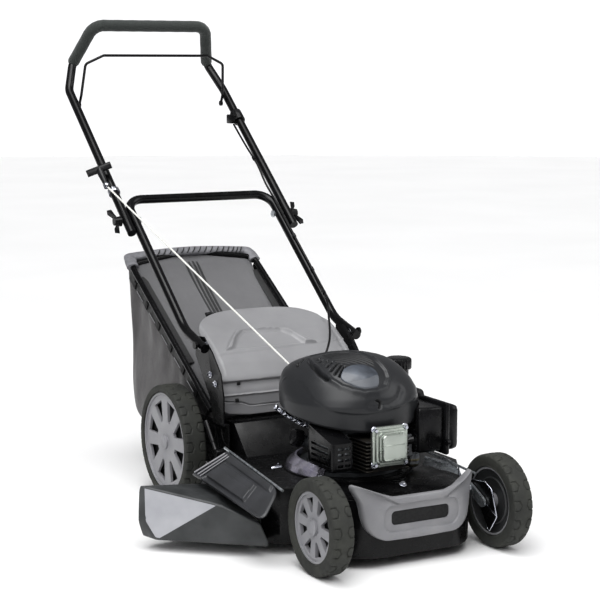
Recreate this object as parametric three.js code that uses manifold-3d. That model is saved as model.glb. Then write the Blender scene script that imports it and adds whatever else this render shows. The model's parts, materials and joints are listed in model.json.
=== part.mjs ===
// A petrol push lawn mower: steel deck, single-cylinder engine, folding handle, grass bag,
// rear door and side-discharge chute. Millimetres, +Z up.
// The mower's front faces -Y and the operator's right is -X. While it is built, the ground is
// z = 0, the front axle is y = 0 and the symmetry plane is x = 0.
import * as THREE from "three";
import { mergeVertices } from "three/addons/utils/BufferGeometryUtils.js";
import { ConvexGeometry } from "three/addons/geometries/ConvexGeometry.js";
import { RoundedBoxGeometry } from "three/addons/geometries/RoundedBoxGeometry.js";
import Module from "manifold-3d";

const wasm = await Module();
wasm.setup();

// ---- driving dimensions ----
const GAP = 0.3; // between pieces that touch

const WHEELBASE = 700;
const FRONT = { radius: 100, rim: 73, width: 46, outer: 238, y: 0, phase: 17 };
const REAR = { radius: 135, rim: 117, width: 52, outer: 247, y: WHEELBASE, phase: 27 };
const WINDOWS = 8; // openings in each wheel disc
const WHEEL_SIDES = 32;
const AXLE_R = 6;
const CRANK_ARM = new THREE.Vector2(-45, -22); // from a crank's pivot to its wheel axle, in (y, z)
const ARM_X = 174.5; // inner face of the crank arms
const ARM_T = 5;

const DECK_TOP = 143;
const DECK_LOW = 22;
const DECK_WALL = 3;
const DECK_FRONT = -25;
const TUNNEL_TOP = 208; // top of the rear discharge tunnel
const TUNNEL_BACK = 560;
const FLANGE_X = 170; // inner face of the rear side plates

const CRANK_Y = 258; // crankshaft and blade axis
const BLADE_R = 198;
const BLADE_Z = 38;

const TUBE_R = 11;
const TUBE_BORE = 9.5;
const LOWER_X = 200.4; // lower handle legs
const UPPER_X = 224.4; // upper handle legs, outside the lower ones
const KNOB = new THREE.Vector3(0, 963, 634); // the fold's axis
const BEND_R = 42;

const DOOR_HALF = 177;
const DOOR_HINGE = new THREE.Vector2(545, 224); // (y, z)

const BAG_HALF = 164; // half width of the fabric
const BAG_WALL = 4;

// ---- helpers ----
const vec = (x, y, z) => new THREE.Vector3(x, y, z);
const rad = (degrees) => THREE.MathUtils.degToRad(degrees);

/** A closed three.js geometry, or a solid already made, as a manifold that faces outward. */
function solid(shape) {
  if (!shape.isBufferGeometry) return shape;
  const plain = new THREE.BufferGeometry();
  plain.setAttribute("position", shape.getAttribute("position"));
  if (shape.index) plain.setIndex(shape.index);
  const merged = mergeVertices(plain, 1e-3);
  const triVerts = new Uint32Array(merged.index.array);
  const made = new wasm.Manifold(
    new wasm.Mesh({ numProp: 3, vertProperties: merged.attributes.position.array, triVerts }),
  );
  if (made.volume() >= 0) return made;
  for (let i = 0; i < triVerts.length; i += 3)
    [triVerts[i + 1], triVerts[i + 2]] = [triVerts[i + 2], triVerts[i + 1]];
  return new wasm.Manifold(
    new wasm.Mesh({ numProp: 3, vertProperties: merged.attributes.position.array, triVerts }),
  );
}

const join = (...shapes) => shapes.map(solid).reduce((a, b) => a.add(b));
const cut = (base, ...tools) => tools.map(solid).reduce((a, b) => a.subtract(b), solid(base));
const meet = (a, b) => solid(a).intersect(solid(b));

/** A manifold's triangles as a three.js geometry. */
function geometryOf(shape) {
  const mesh = solid(shape).getMesh();
  const geometry = new THREE.BufferGeometry();
  geometry.setAttribute("position", new THREE.BufferAttribute(mesh.vertProperties, 3));
  geometry.setIndex(new THREE.BufferAttribute(mesh.triVerts, 1));
  geometry.computeVertexNormals();
  return geometry;
}

/** A block between two corners. */
function block(low, high) {
  const size = high.clone().sub(low);
  const middle = low.clone().add(high).multiplyScalar(0.5);
  return new THREE.BoxGeometry(size.x, size.y, size.z).translate(middle.x, middle.y, middle.z);
}

/** A block with rounded edges between two corners. */
function softBlock(low, high, radius) {
  const size = high.clone().sub(low);
  const middle = low.clone().add(high).multiplyScalar(0.5);
  return new RoundedBoxGeometry(size.x, size.y, size.z, 1, radius).translate(
    middle.x,
    middle.y,
    middle.z,
  );
}

/** A round bar, or a cone, from one point to another. */
function bar(from, to, radius, sides = 16, endRadius = radius) {
  const along = to.clone().sub(from);
  const geometry = new THREE.CylinderGeometry(endRadius, radius, along.length(), sides);
  const turn = new THREE.Quaternion().setFromUnitVectors(
    vec(0, 1, 0),
    along.clone().normalize(),
  );
  const middle = from.clone().add(to).multiplyScalar(0.5);
  return geometry.applyQuaternion(turn).translate(middle.x, middle.y, middle.z);
}

/** An outline's corners as vectors, without those that lie on a straight run. */
function corners(outline) {
  const turns = (here, i) => {
    const before = outline[(i + outline.length - 1) % outline.length];
    const after = outline[(i + 1) % outline.length];
    const cross =
      (here[0] - before[0]) * (after[1] - here[1]) - (here[1] - before[1]) * (after[0] - here[0]);
    return Math.abs(cross) > 1e-6;
  };
  return outline.filter(turns).map(([u, v]) => new THREE.Vector2(u, v));
}

/** A plate: an outline of [u, v] points pushed along one axis from `start` by `depth`. */
function plate(outline, axis, start, depth, holes = []) {
  const outer = corners(outline);
  if (THREE.ShapeUtils.isClockWise(outer)) outer.reverse();
  const shape = new THREE.Shape(outer);
  for (const hole of holes) shape.holes.push(new THREE.Path(corners(hole)));
  const geometry = new THREE.ExtrudeGeometry(shape, { depth, bevelEnabled: false, steps: 1 });
  if (axis === "z") return geometry.translate(0, 0, start);
  // (u, v, depth) becomes (depth, u, v) for x, and (u, depth, v) for y
  const place = new THREE.Matrix4();
  if (axis === "x") place.set(0, 0, 1, start, 1, 0, 0, 0, 0, 1, 0, 0, 0, 0, 0, 1);
  else place.set(1, 0, 0, 0, 0, 0, 1, start, 0, 1, 0, 0, 0, 0, 0, 1);
  return geometry.applyMatrix4(place);
}

/** Points round a circle, as [u, v]. */
function ring(radius, sides, centre = [0, 0], phase = 0) {
  return Array.from({ length: sides }, (_, i) => {
    const a = phase + (2 * Math.PI * i) / sides;
    return [centre[0] + radius * Math.cos(a), centre[1] + radius * Math.sin(a)];
  });
}

/** A solid of revolution about the vertical line through (x, y). */
function turned(profile, x, y, sides) {
  const points = profile.map(([r, z]) => new THREE.Vector2(r, z));
  return new THREE.LatheGeometry(points, sides).rotateX(Math.PI / 2).translate(x, y, 0);
}

/** A centre line whose steps are exactly the points that it is given. */
class BentLine extends THREE.Curve {
  constructor(points) {
    super();
    this.points = points;
  }
  getSpacedPoints() {
    return this.points;
  }
  getTangentAt(u) {
    const last = this.points.length - 1;
    const i = Math.round(u * last);
    const before = this.points[Math.max(i - 1, 0)];
    const here = this.points[i];
    const after = this.points[Math.min(i + 1, last)];
    const inward = here.clone().sub(before).normalize();
    const outward = after.clone().sub(here).normalize();
    return inward.add(outward).normalize();
  }
}

/** Straight runs between `turns`, each inner turn rounded to its radius by an arc of steps. */
function rounded(turns, radii, steps = 4) {
  const points = [turns[0]];
  for (let i = 1; i < turns.length - 1; i++) {
    const here = turns[i];
    const radius = Array.isArray(radii) ? radii[i - 1] : radii;
    const back = turns[i - 1].clone().sub(here);
    const on = turns[i + 1].clone().sub(here);
    const half = back.angleTo(on) / 2;
    const reach = Math.min(radius / Math.tan(half), back.length() * 0.45, on.length() * 0.45);
    const a = here.clone().addScaledVector(back.normalize(), reach);
    const b = here.clone().addScaledVector(on.normalize(), reach);
    const curve = new THREE.QuadraticBezierCurve3(a, here, b);
    for (let k = 0; k <= steps; k++) points.push(curve.getPoint(k / steps));
  }
  points.push(turns[turns.length - 1]);
  return points;
}

/** A tube along points: solid, or with a bore that is open at both ends. */
function tube(points, radius, sides = 10, bore = 0) {
  const section = new THREE.Shape(ring(radius, sides).map(([u, v]) => new THREE.Vector2(u, v)));
  if (bore)
    section.holes.push(
      new THREE.Path(ring(bore, sides).map(([u, v]) => new THREE.Vector2(u, v)).reverse()),
    );
  return new THREE.ExtrudeGeometry(section, {
    steps: points.length - 1,
    bevelEnabled: false,
    extrudePath: new BentLine(points),
  });
}

/** The same points on the other side of the mower. */
const mirrored = (points) => points.map((p) => vec(-p.x, p.y, p.z));
/** A half path from one end to the middle, carried on to the other side. */
const bothSides = (half) => [...half, ...mirrored(half).reverse()];

const finishes = {
  deck: [0x1c1c1e, 0.35, 0.5],
  greyPlastic: [0xb2b2b4, 0.55, 0],
  darkPlastic: [0x4a4b4d, 0.55, 0],
  blackPlastic: [0x1a1a1b, 0.45, 0],
  tube: [0x202022, 0.3, 0.5],
  foam: [0x454947, 0.95, 0],
  steel: [0xb9bcc0, 0.3, 1],
  darkSteel: [0x3a3a3c, 0.4, 0.8],
  alloy: [0x9fa1a2, 0.5, 0.9],
  zinc: [0xc9d2cd, 0.35, 0.9],
  chrome: [0xd8d6de, 0.12, 1],
  brass: [0xa79a6c, 0.35, 1],
  rubber: [0x3b3c39, 0.85, 0],
  fabric: [0x6f6f70, 0.95, 0],
  rope: [0xe8e8e4, 0.9, 0],
  cable: [0x161616, 0.6, 0],
};

const mower = new THREE.Group();

/** Puts one named piece on the mower. */
function add(name, shape, finish) {
  const [color, roughness, metalness] = finishes[finish];
  const material = new THREE.MeshStandardMaterial({ color, roughness, metalness });
  const mesh = new THREE.Mesh(geometryOf(shape), material);
  mesh.name = name;
  mower.add(mesh);
}

// ---- wheels and height adjustment ----
/** A tyre: a closed ring with round shoulders, turned about X. */
function tyre(size, side) {
  const w = size.width / 2;
  const seat = size.rim + GAP + 0.3;
  const profile = [
    [seat, -w + 4],
    [size.radius - 8, -w],
    [size.radius, -w + 8],
    [size.radius, w - 8],
    [size.radius - 8, w],
    [seat, w - 4],
    [seat, -w + 4],
  ];
  const points = profile.map(([r, a]) => new THREE.Vector2(r, a));
  return new THREE.LatheGeometry(points, WHEEL_SIDES)
    .rotateZ(Math.PI / 2)
    .translate(side * (size.outer - w), size.y, size.radius);
}

/** A wheel disc: a rim, a webbed face with windows near its outer side, and a hub. */
function disc(size, side) {
  const w = size.width / 2 - 4;
  const rimIn = size.rim - 5;
  const holes = Array.from({ length: WINDOWS }, (_, i) => {
    const middle = rad(size.phase + (360 / WINDOWS) * i);
    const inner = size.rim * 0.42;
    const outer = size.rim * 0.84;
    const point = (r, a) => [r * Math.cos(middle + a), r * Math.sin(middle + a)];
    return [point(inner, -0.1), point(outer, -0.22), point(outer, 0.22), point(inner, 0.1)];
  });
  const face = plate(ring(rimIn + 1, 24), "x", w - 12, 8, holes);
  const band = cut(
    bar(vec(-w, 0, 0), vec(w, 0, 0), size.rim, WHEEL_SIDES),
    bar(vec(-w - 1, 0, 0), vec(w + 1, 0, 0), rimIn, WHEEL_SIDES),
  );
  const hub = bar(vec(-w, 0, 0), vec(w + 2, 0, 0), 17, 14);
  const bore = bar(vec(-w - 1, 0, 0), vec(w - 6, 0, 0), AXLE_R + 2 * GAP, 12);
  const whole = cut(join(face, band, hub), bore);
  const made = geometryOf(whole);
  if (side < 0) made.rotateZ(Math.PI);
  return made.translate(side * (size.outer - size.width / 2), size.y, size.radius);
}

for (const [place, size] of [["front", FRONT], ["rear", REAR]])
  for (const [hand, side] of [["right", -1], ["left", 1]]) {
    add(`tyre_${place}_${hand}`, tyre(size, side), "rubber");
    add(`wheel_${place}_${hand}`, disc(size, side), "greyPlastic");
  }

/** A crank arm with its stub axle, on one side. */
function crankArm(size, side) {
  const axle = vec(0, size.y, size.radius);
  const pivot = vec(0, size.y - CRANK_ARM.x, size.radius - CRANK_ARM.y);
  const at = (p, x) => vec(side * x, p.y, p.z);
  const web = new THREE.Vector2(pivot.y - axle.y, pivot.z - axle.z);
  const across = new THREE.Vector2(-web.y, web.x).normalize().multiplyScalar(11);
  const outline = [
    [axle.y + across.x, axle.z + across.y],
    [axle.y - across.x, axle.z - across.y],
    [pivot.y - across.x, pivot.z - across.y],
    [pivot.y + across.x, pivot.z + across.y],
  ];
  const start = side > 0 ? ARM_X : -ARM_X - ARM_T;
  const endX = size.outer - 11;
  return join(
    plate(outline, "x", start, ARM_T),
    bar(at(axle, ARM_X), at(axle, ARM_X + ARM_T), 11, 16),
    bar(at(pivot, ARM_X), at(pivot, ARM_X + ARM_T), 11, 16),
    bar(at(axle, ARM_X), at(axle, endX), AXLE_R, 12),
  );
}

const frontPivot = vec(0, FRONT.y - CRANK_ARM.x, FRONT.radius - CRANK_ARM.y);
const rearPivot = vec(0, REAR.y - CRANK_ARM.x, REAR.radius - CRANK_ARM.y);
add(
  "front_axle",
  join(
    crankArm(FRONT, -1),
    crankArm(FRONT, 1),
    bar(vec(-ARM_X - 1, frontPivot.y, frontPivot.z), vec(ARM_X + 1, frontPivot.y, frontPivot.z), 7, 12),
  ),
  "darkSteel",
);
for (const [hand, side] of [["right", -1], ["left", 1]])
  add(
    `rear_crank_${hand}`,
    join(
      crankArm(REAR, side),
      bar(
        vec(side * (FLANGE_X - 2), rearPivot.y, rearPivot.z),
        vec(side * (ARM_X + 1), rearPivot.y, rearPivot.z),
        7,
        12,
      ),
    ),
    "darkSteel",
  );

const LINK_X = ARM_X + ARM_T + 5.7;
const LINK_RISE = 30; // link pins stand this far above the crank pivots
add(
  "height_link_rod",
  bar(
    vec(LINK_X, frontPivot.y - 8, frontPivot.z + LINK_RISE),
    vec(LINK_X, rearPivot.y + 8, rearPivot.z + LINK_RISE),
    3,
    8,
  ),
  "darkSteel",
);

const LEVER = { x: -196, y: 514, z: 140 };
const QUADRANT_X = -FLANGE_X - 3 - GAP - 2.4;
function heightLever() {
  const foot = vec(LEVER.x, LEVER.y, LEVER.z);
  const neck = vec(LEVER.x, 534, 163);
  const top = vec(LEVER.x, 570, 204);
  return join(
    bar(vec(LEVER.x - 4, foot.y, foot.z), vec(QUADRANT_X - GAP, foot.y, foot.z), 10, 12),
    bar(foot, neck, 4, 8),
    bar(neck, top, 5.5, 10, 6.5),
  );
}
add("height_lever", heightLever(), "darkPlastic");
add(
  "height_quadrant",
  plate(
    [[503, 124], [530, 124], [550, 152], [560, 198], [538, 203], [522, 166], [503, 158]],
    "x",
    QUADRANT_X,
    2.4,
  ),
  "darkSteel",
);

// ---- deck ----
const HOLE = 0.5; // running clearance of a rod in sheet metal

/** How far the deck's front wraps back at x: flat in the middle, then a parabola. */
const wrap = (x) => 0.0088 * Math.max(x - 84, 0) ** 2;
const WRAP_X = [84, 100, 115, 130, 145, 156];

/** The deck's plan, smaller by `inset` all round: narrow between the wheels, wide at the blade. */
function deckPlan(inset) {
  const half = [
    [0, DECK_FRONT + inset],
    ...WRAP_X.map((x) => [x - inset * 0.4, DECK_FRONT + inset * 0.9 + wrap(x)]),
    [168 - inset, 50],
    [168 - inset, 136 + inset * 0.4],
    [222 - inset * 0.8, 160 + inset * 0.7],
    [243 - inset, 196],
    [243 - inset, 400],
    [222 - inset, 448 - inset * 0.6],
    [FLANGE_X + DECK_WALL - inset, 500],
    [FLANGE_X + DECK_WALL - inset, TUNNEL_BACK - inset],
    [0, TUNNEL_BACK - inset],
  ];
  const other = half.slice(1, -1).reverse().map(([x, y]) => [-x, y]);
  return [...half, ...other];
}

/** A mid-height rise of the deck that leads the clippings up to the rear opening. */
const tunnelSide = (top, back) => [[430, DECK_TOP - 6], [500, top], [back, top], [back, DECK_TOP - 6]];

function deckShell() {
  const outer = join(
    plate(deckPlan(0), "z", DECK_LOW, DECK_TOP - DECK_LOW),
    plate(tunnelSide(TUNNEL_TOP, TUNNEL_BACK), "x", -158, 316),
    bar(vec(0, CRANK_Y, DECK_TOP - 4), vec(0, CRANK_Y, DECK_TOP + 3), 142, 36),
  );
  const w = DECK_WALL;
  const inner = join(
    plate(deckPlan(w), "z", DECK_LOW - 5, DECK_TOP - DECK_LOW + 5 - w),
    plate(tunnelSide(TUNNEL_TOP - w, TUNNEL_BACK + 10), "x", -158 + w, 316 - 2 * w),
  );
  const mouth = block(vec(-150, TUNNEL_BACK - 20, 50), vec(150, TUNNEL_BACK + 20, TUNNEL_TOP - w));
  const discharge = block(vec(-260, 205, 40), vec(-230, 390, 118));
  const shaft = bar(vec(0, CRANK_Y, 100), vec(0, CRANK_Y, 200), 40, 24);
  const axleHoles = bar(
    vec(-200, frontPivot.y, frontPivot.z),
    vec(200, frontPivot.y, frontPivot.z),
    7 + HOLE,
    12,
  );
  const shell = cut(outer, inner, mouth, discharge, shaft, axleHoles);
  const flanges = [-1, 1].map((side) =>
    cut(
      plate(
        [[498, 40], [560, 40], [600, 96], [700, 100], [775, 120], [790, 150], [775, 196], [640, 205], [498, 205]],
        "x",
        side > 0 ? FLANGE_X : -FLANGE_X - w,
        w,
      ),
      bar(vec(side * 150, rearPivot.y, rearPivot.z), vec(side * 200, rearPivot.y, rearPivot.z), 7 + HOLE, 12),
    ),
  );
  const hingeRail = plate([[196, 138], [196, 153], [352, 173], [352, 138]], "x", -243, 3);
  return join(shell, hingeRail, ...flanges);
}
add("deck_shell", deckShell(), "deck");

/** The front trim: raised horns and a long slot in a sheet that wraps round the deck's corners. */
function bumper() {
  const half = [
    [0, 148],
    [62, 148],
    [96, 160],
    [128, 172],
    [145, 178],
    [147, 168],
    [134, 140],
    [129, 106],
    [122, 84],
    [104, 68],
    [84, 60],
    [0, 58],
  ];
  const other = half.slice(1, -1).reverse().map(([x, z]) => [-x, z]);
  const slot = [[-66, 112], [-62, 118], [66, 118], [72, 112], [72, 96], [66, 89], [-62, 89], [-66, 95]];
  const face = plate([...half, ...other], "y", -80, 140, [slot]);
  const back = WRAP_X.map((x) => [x, DECK_FRONT - 2 * GAP + wrap(x)]);
  const front = WRAP_X.map((x) => [x, DECK_FRONT - 13 + 0.92 * wrap(x)]);
  const across = (row) => [...row.map(([x, y]) => [-x, y]).reverse(), ...row];
  const sheet = plate([...across(back), ...across(front).reverse()], "z", 40, 150);
  return meet(face, sheet);
}
add("front_bumper_trim", bumper(), "greyPlastic");

// ---- side discharge ----
const FLAP = {
  hingeRear: vec(-247, 357, 183),
  hingeFront: vec(-247, 118, 152),
  outerFront: vec(-308, 70, 105),
  outerRear: vec(-325, 375, 140),
};
const hingeAxis = FLAP.hingeRear.clone().sub(FLAP.hingeFront).normalize();
const flapNormal = FLAP.outerRear
  .clone()
  .sub(FLAP.hingeRear)
  .cross(hingeAxis)
  .normalize()
  .multiplyScalar(-1);

/** A plate between corners in space, thickened along `normal`. */
function slab(corners, normal, thickness) {
  const far = corners.map((p) => p.clone().addScaledVector(normal, thickness));
  return new ConvexGeometry([...corners, ...far]);
}

function sideFlap() {
  const { hingeRear, hingeFront, outerFront, outerRear } = FLAP;
  const mid = (a, b, t) => a.clone().lerp(b, t);
  const panel = slab([hingeRear, hingeFront, outerFront, outerRear], flapNormal, 5);
  const inset = (u, v) => mid(mid(hingeRear, hingeFront, u), mid(outerRear, outerFront, u), v);
  const raised = slab([inset(0.12, 0.16), inset(0.62, 0.16), inset(0.62, 0.86), inset(0.12, 0.86)], flapNormal, 10);
  const knuckle = (u, v) =>
    bar(mid(hingeRear, hingeFront, u).add(lift), mid(hingeRear, hingeFront, v).add(lift), 8, 12);
  const pinHole = bar(hingeRear.clone().add(lift).addScaledVector(hingeAxis, 40), hingeFront.clone().add(lift).addScaledVector(hingeAxis, -40), 3 + GAP, 10);
  return cut(join(panel, raised, knuckle(0.02, 0.98)), pinHole);
}
const lift = vec(2, 0, 3);
add("side_flap", sideFlap(), "darkPlastic");
add(
  "side_flap_pin",
  bar(
    FLAP.hingeRear.clone().add(lift).addScaledVector(hingeAxis, 14),
    FLAP.hingeFront.clone().add(lift).addScaledVector(hingeAxis, -14),
    3,
    10,
  ),
  "steel",
);

/** Hull of the chute, inset from its outer faces by `t`. */
function chuteHull(t) {
  const out = vec(0.67, 0.742, 0).multiplyScalar(t);
  const front = [vec(-441, 304, 25), vec(-252, 141, 25), vec(-268, 155, 74), vec(-338, 211, 112), vec(-461, 318, 138), vec(-458, 318, 60)];
  const rear = [vec(-452, 350, 25), vec(-252, 385, 25), vec(-252, 385, 108), vec(-374, 330, 128), vec(-466, 345, 138), vec(-466, 345, 60)];
  return { front: front.map((p) => p.clone().add(out)), rear };
}
function sideChute() {
  const { front, rear } = chuteHull(0);
  const outer = new ConvexGeometry([...front, ...rear]);
  const inner = [
    vec(-438, 309, 10),
    vec(-240, 137, 10),
    vec(-240, 142, 70),
    vec(-336, 218, 108),
    vec(-450, 318, 128),
    vec(-447, 318, 60),
    vec(-440, 420, 10),
    vec(-240, 420, 10),
    vec(-240, 420, 100),
    vec(-374, 420, 121),
    vec(-450, 420, 128),
    vec(-450, 420, 60),
  ];
  return cut(outer, new ConvexGeometry(inner));
}
add("side_chute", sideChute(), "darkPlastic");

// ---- rear door ----
/** The door's side profile, `inset` below its top face. */
function doorProfile(inset) {
  return [
    [532 + inset, 218],
    [532 + inset, 300 - inset * 0.5],
    [560 + inset, 338 - inset],
    [630, 382 - inset],
    [726, 427 - inset],
  ];
}
function rearDoor() {
  const t = 3.5;
  const profile = [...doorProfile(0), ...doorProfile(t).reverse()];
  const sheet = plate(profile, "x", -DOOR_HALF, 2 * DOOR_HALF);
  const arch = [
    [-DOOR_HALF, 200],
    [DOOR_HALF, 200],
    [DOOR_HALF, 372],
    [150, 396],
    [100, 415],
    [40, 426],
    [0, 428],
    [-40, 426],
    [-100, 415],
    [-150, 396],
    [-DOOR_HALF, 372],
  ];
  return meet(sheet, plate(arch, "y", 500, 260));
}
add("rear_door", rearDoor(), "greyPlastic");
const HINGE_ROD_X = 184.5;
add(
  "door_hinge_rod",
  bar(vec(-HINGE_ROD_X, DOOR_HINGE.x, DOOR_HINGE.y), vec(HINGE_ROD_X, DOOR_HINGE.x, DOOR_HINGE.y), 3, 10),
  "steel",
);
function ringAbout(x0, x1, outer, inner, sides) {
  const at = (x) => vec(x, DOOR_HINGE.x, DOOR_HINGE.y);
  return cut(bar(at(x0), at(x1), outer, sides), bar(at(x0 - 1), at(x1 + 1), inner, sides));
}
add("door_spring", ringAbout(-170, -130, 6.5, 4, 12), "steel");

// ---- handle ----
const lowerZ = (y) => 753.33 + 0.85 * (y - 1100);
const upperZ = (y) => 756.75 + 0.83 * (y - 1100);
const FOOT = { y: 562, z: 374 };
const CROSS_Y = 1019;

function lowerHandle() {
  const half = [
    vec(-LOWER_X, FOOT.y, FOOT.z),
    vec(-LOWER_X, 668, lowerZ(668) + 16),
    vec(-LOWER_X, CROSS_Y - 4, lowerZ(CROSS_Y - 4)),
    vec(0, CROSS_Y, 691),
  ];
  return bothSides(rounded(half, [120, BEND_R], 5).slice(0, -1));
}
const boltHole = (side) =>
  bar(vec(side * 170, KNOB.y, KNOB.z), vec(side * 250, KNOB.y, KNOB.z), 4 + GAP, 12);
const footHole = (side) => bar(vec(side * 170, 580, 381), vec(side * 230, 580, 381), 4 + GAP, 10);
add(
  "lower_handle",
  cut(tube(lowerHandle(), TUBE_R, 10, TUBE_BORE), boltHole(-1), boltHole(1), footHole(-1), footHole(1)),
  "tube",
);

const GRIP_END = vec(-196, 1375, 1017);
const GRIP_CORNER = vec(-161, 1307, 1116);
function upperHandle() {
  const start = 920;
  const half = [
    vec(-UPPER_X, start, upperZ(start)),
    vec(-UPPER_X, 1330, upperZ(1330)),
    vec(-214, 1378, 985),
    GRIP_END,
    GRIP_CORNER,
    vec(0, GRIP_CORNER.y, GRIP_CORNER.z),
  ];
  const bend = rounded([half[0], half[1], half[2], half[3]], 60, 2);
  const grip = rounded([half[3], half[4], half[5]], 40, 4);
  return { leg: bend.slice(0, -1), grip: grip.slice(0, -1) };
}
const upper = upperHandle();
add(
  "upper_handle",
  cut(
    tube(bothSides([...upper.leg, ...upper.grip]), TUBE_R, 10, TUBE_BORE),
    boltHole(-1),
    boltHole(1),
  ),
  "tube",
);
add("foam_grip", tube(bothSides(upper.grip), 15.5, 10, 12.8), "foam");

const BAIL_PIVOT = vec(-206, 1305, 908);
function brakeBail() {
  const half = [
    BAIL_PIVOT.clone().add(vec(0, 0, 2)),
    vec(-205, 1292, 935),
    vec(-198, 1276, 1016),
    vec(-150, 1270, 1038),
    vec(0, 1270, 1042),
  ];
  const line = bothSides(rounded(half, 14, 3).slice(0, -1));
  const eye = (side) =>
    bar(vec(side * 209, BAIL_PIVOT.y, BAIL_PIVOT.z), vec(side * 203, BAIL_PIVOT.y, BAIL_PIVOT.z), 7, 12);
  return join(tube(line, 3.5, 8), eye(-1), eye(1));
}
add("brake_bail", brakeBail(), "darkSteel");

/** A wing knob outside the upper leg, and the bolt through both legs. */
function wingKnob(side) {
  const at = (x) => vec(side * x, KNOB.y, KNOB.z);
  const wing = (sign) =>
    new ConvexGeometry(
      [0, 1].flatMap((k) =>
        [[243, 4, 6], [243, 4, -6], [262, 24, 5], [262, 24, -5], [250, 26, 5], [250, 26, -5]].map(([x, u, v]) =>
          vec(side * (x + k * 0.01), KNOB.y + sign * u + v * 0.3, KNOB.z + sign * u * 0.85 + v),
        ),
      ),
    );
  const body = join(bar(at(236), at(254), 13, 16, 10), wing(1), wing(-1));
  return cut(body, bar(at(230), at(248), 4 + GAP, 12));
}
for (const [hand, side] of [["right", -1], ["left", 1]]) {
  add(`handle_knob_${hand}`, wingKnob(side), "blackPlastic");
  add(
    `handle_bolt_${hand}`,
    join(
      bar(vec(side * 184, KNOB.y, KNOB.z), vec(side * 189, KNOB.y, KNOB.z), 9, 12),
      bar(vec(side * 188, KNOB.y, KNOB.z), vec(side * 247, KNOB.y, KNOB.z), 4, 12),
    ),
    "steel",
  );
}

/** A glossy plate on the deck's side that holds the handle's foot and the door's hinge rod. */
function handleBracket(side) {
  const outline = [
    [494, 205.5],
    [546, 205.5],
    [566, 262],
    [600, 300],
    [640, 348],
    [636, 392],
    [596, 396],
    [552, 366],
    [508, 322],
    [494, 270],
  ];
  const start = side > 0 ? 185 : -188;
  const foot = block(
    vec(side > 0 ? FLANGE_X + DECK_WALL + GAP : -188, 494, 205.5),
    vec(side > 0 ? 188 : -FLANGE_X - DECK_WALL - GAP, 546, 209),
  );
  const bolts = [[580, 381, 15], [559, 314, 7], [533, 297, 7]].map(([y, z, reach]) =>
    bar(vec(side * 186, y, z), vec(side * (188 + reach), y, z), 4, 10),
  );
  const head = bar(vec(side * 213.5, 580, 381), vec(side * 219, 580, 381), 9, 10);
  const stem = bar(vec(side * 187, 580, 381), vec(side * 214, 580, 381), 4, 10);
  return join(plate(outline, "x", start, 3), foot, ...bolts, stem, head);
}
add("handle_bracket_right", handleBracket(-1), "deck");
add("handle_bracket_left", handleBracket(1), "deck");

// ---- starter rope and brake cable ----
const EYE = vec(-250, 1017, 718);
const ROPE_AIM = vec(-80, 360, 350);
const ropeRun = ROPE_AIM.clone().sub(EYE).normalize();
const ROPE_R = 2.3;
add(
  "starter_rope",
  tube([EYE.clone().addScaledVector(ropeRun, 7), ROPE_AIM.clone().addScaledVector(ropeRun, 22)], ROPE_R, 8),
  "rope",
);
const pullUp = vec(0, 0.784, 0.62);
const acrossPull = vec(0.89, -0.279, 0.353);
function starterHandle() {
  const at = (s) => EYE.clone().addScaledVector(pullUp, s);
  const middle = at(61);
  return join(
    bar(at(9), at(52), 6, 12, 9),
    bar(middle.clone().addScaledVector(acrossPull, -32), middle.clone().addScaledVector(acrossPull, 32), 9, 12),
    bar(at(50), at(60), 9, 12),
  );
}
add("starter_handle", starterHandle(), "blackPlastic");

/** A clip round the right leg with an eye for the rope. */
function ropeGuide() {
  const legAt = (y) => vec(-UPPER_X, y, upperZ(y));
  const along = legAt(1200).sub(legAt(1100)).normalize();
  const centre = legAt(1032);
  const clip = cut(
    bar(centre.clone().addScaledVector(along, -6), centre.clone().addScaledVector(along, 6), 15, 12),
    bar(centre.clone().addScaledVector(along, -9), centre.clone().addScaledVector(along, 9), TUBE_R + 0.8, 12),
  );
  const away = EYE.clone().sub(centre).normalize();
  const stalk = bar(centre.clone().addScaledVector(away, 13), EYE.clone().addScaledVector(away, -6), 3.5, 8);
  const eye = cut(
    bar(EYE.clone().addScaledVector(pullUp, -4), EYE.clone().addScaledVector(pullUp, 6), 8, 12),
    bar(EYE.clone().addScaledVector(pullUp, -9), EYE.clone().addScaledVector(pullUp, 9), 4.2, 12),
    bar(EYE.clone().addScaledVector(ropeRun, 2), EYE.clone().addScaledVector(ropeRun, 30), 3.4, 12),
  );
  return join(clip, stalk, eye);
}
add("rope_guide", ropeGuide(), "steel");

/** A block clipped under the left leg where the brake cable's sleeve begins. */
const STOP_Y = 1240;
function cableStop() {
  const legAt = (y) => vec(UPPER_X, y, upperZ(y));
  const along = legAt(1200).sub(legAt(1100)).normalize();
  const a = legAt(STOP_Y - 12);
  const b = legAt(STOP_Y + 14);
  const clip = cut(bar(a, b, 16, 12), bar(a.clone().addScaledVector(along, -3), b.clone().addScaledVector(along, 3), TUBE_R + 0.8, 12));
  return cut(
    join(clip, softBlock(vec(196, STOP_Y - 14, upperZ(STOP_Y) - 16), vec(212, STOP_Y + 12, upperZ(STOP_Y) + 8), 2)),
    bar(vec(204, STOP_Y - 40, upperZ(STOP_Y) - 37), vec(204, STOP_Y + 40, upperZ(STOP_Y) + 29), 3.6, 8),
  );
}
add("cable_stop", cableStop(), "blackPlastic");

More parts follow.
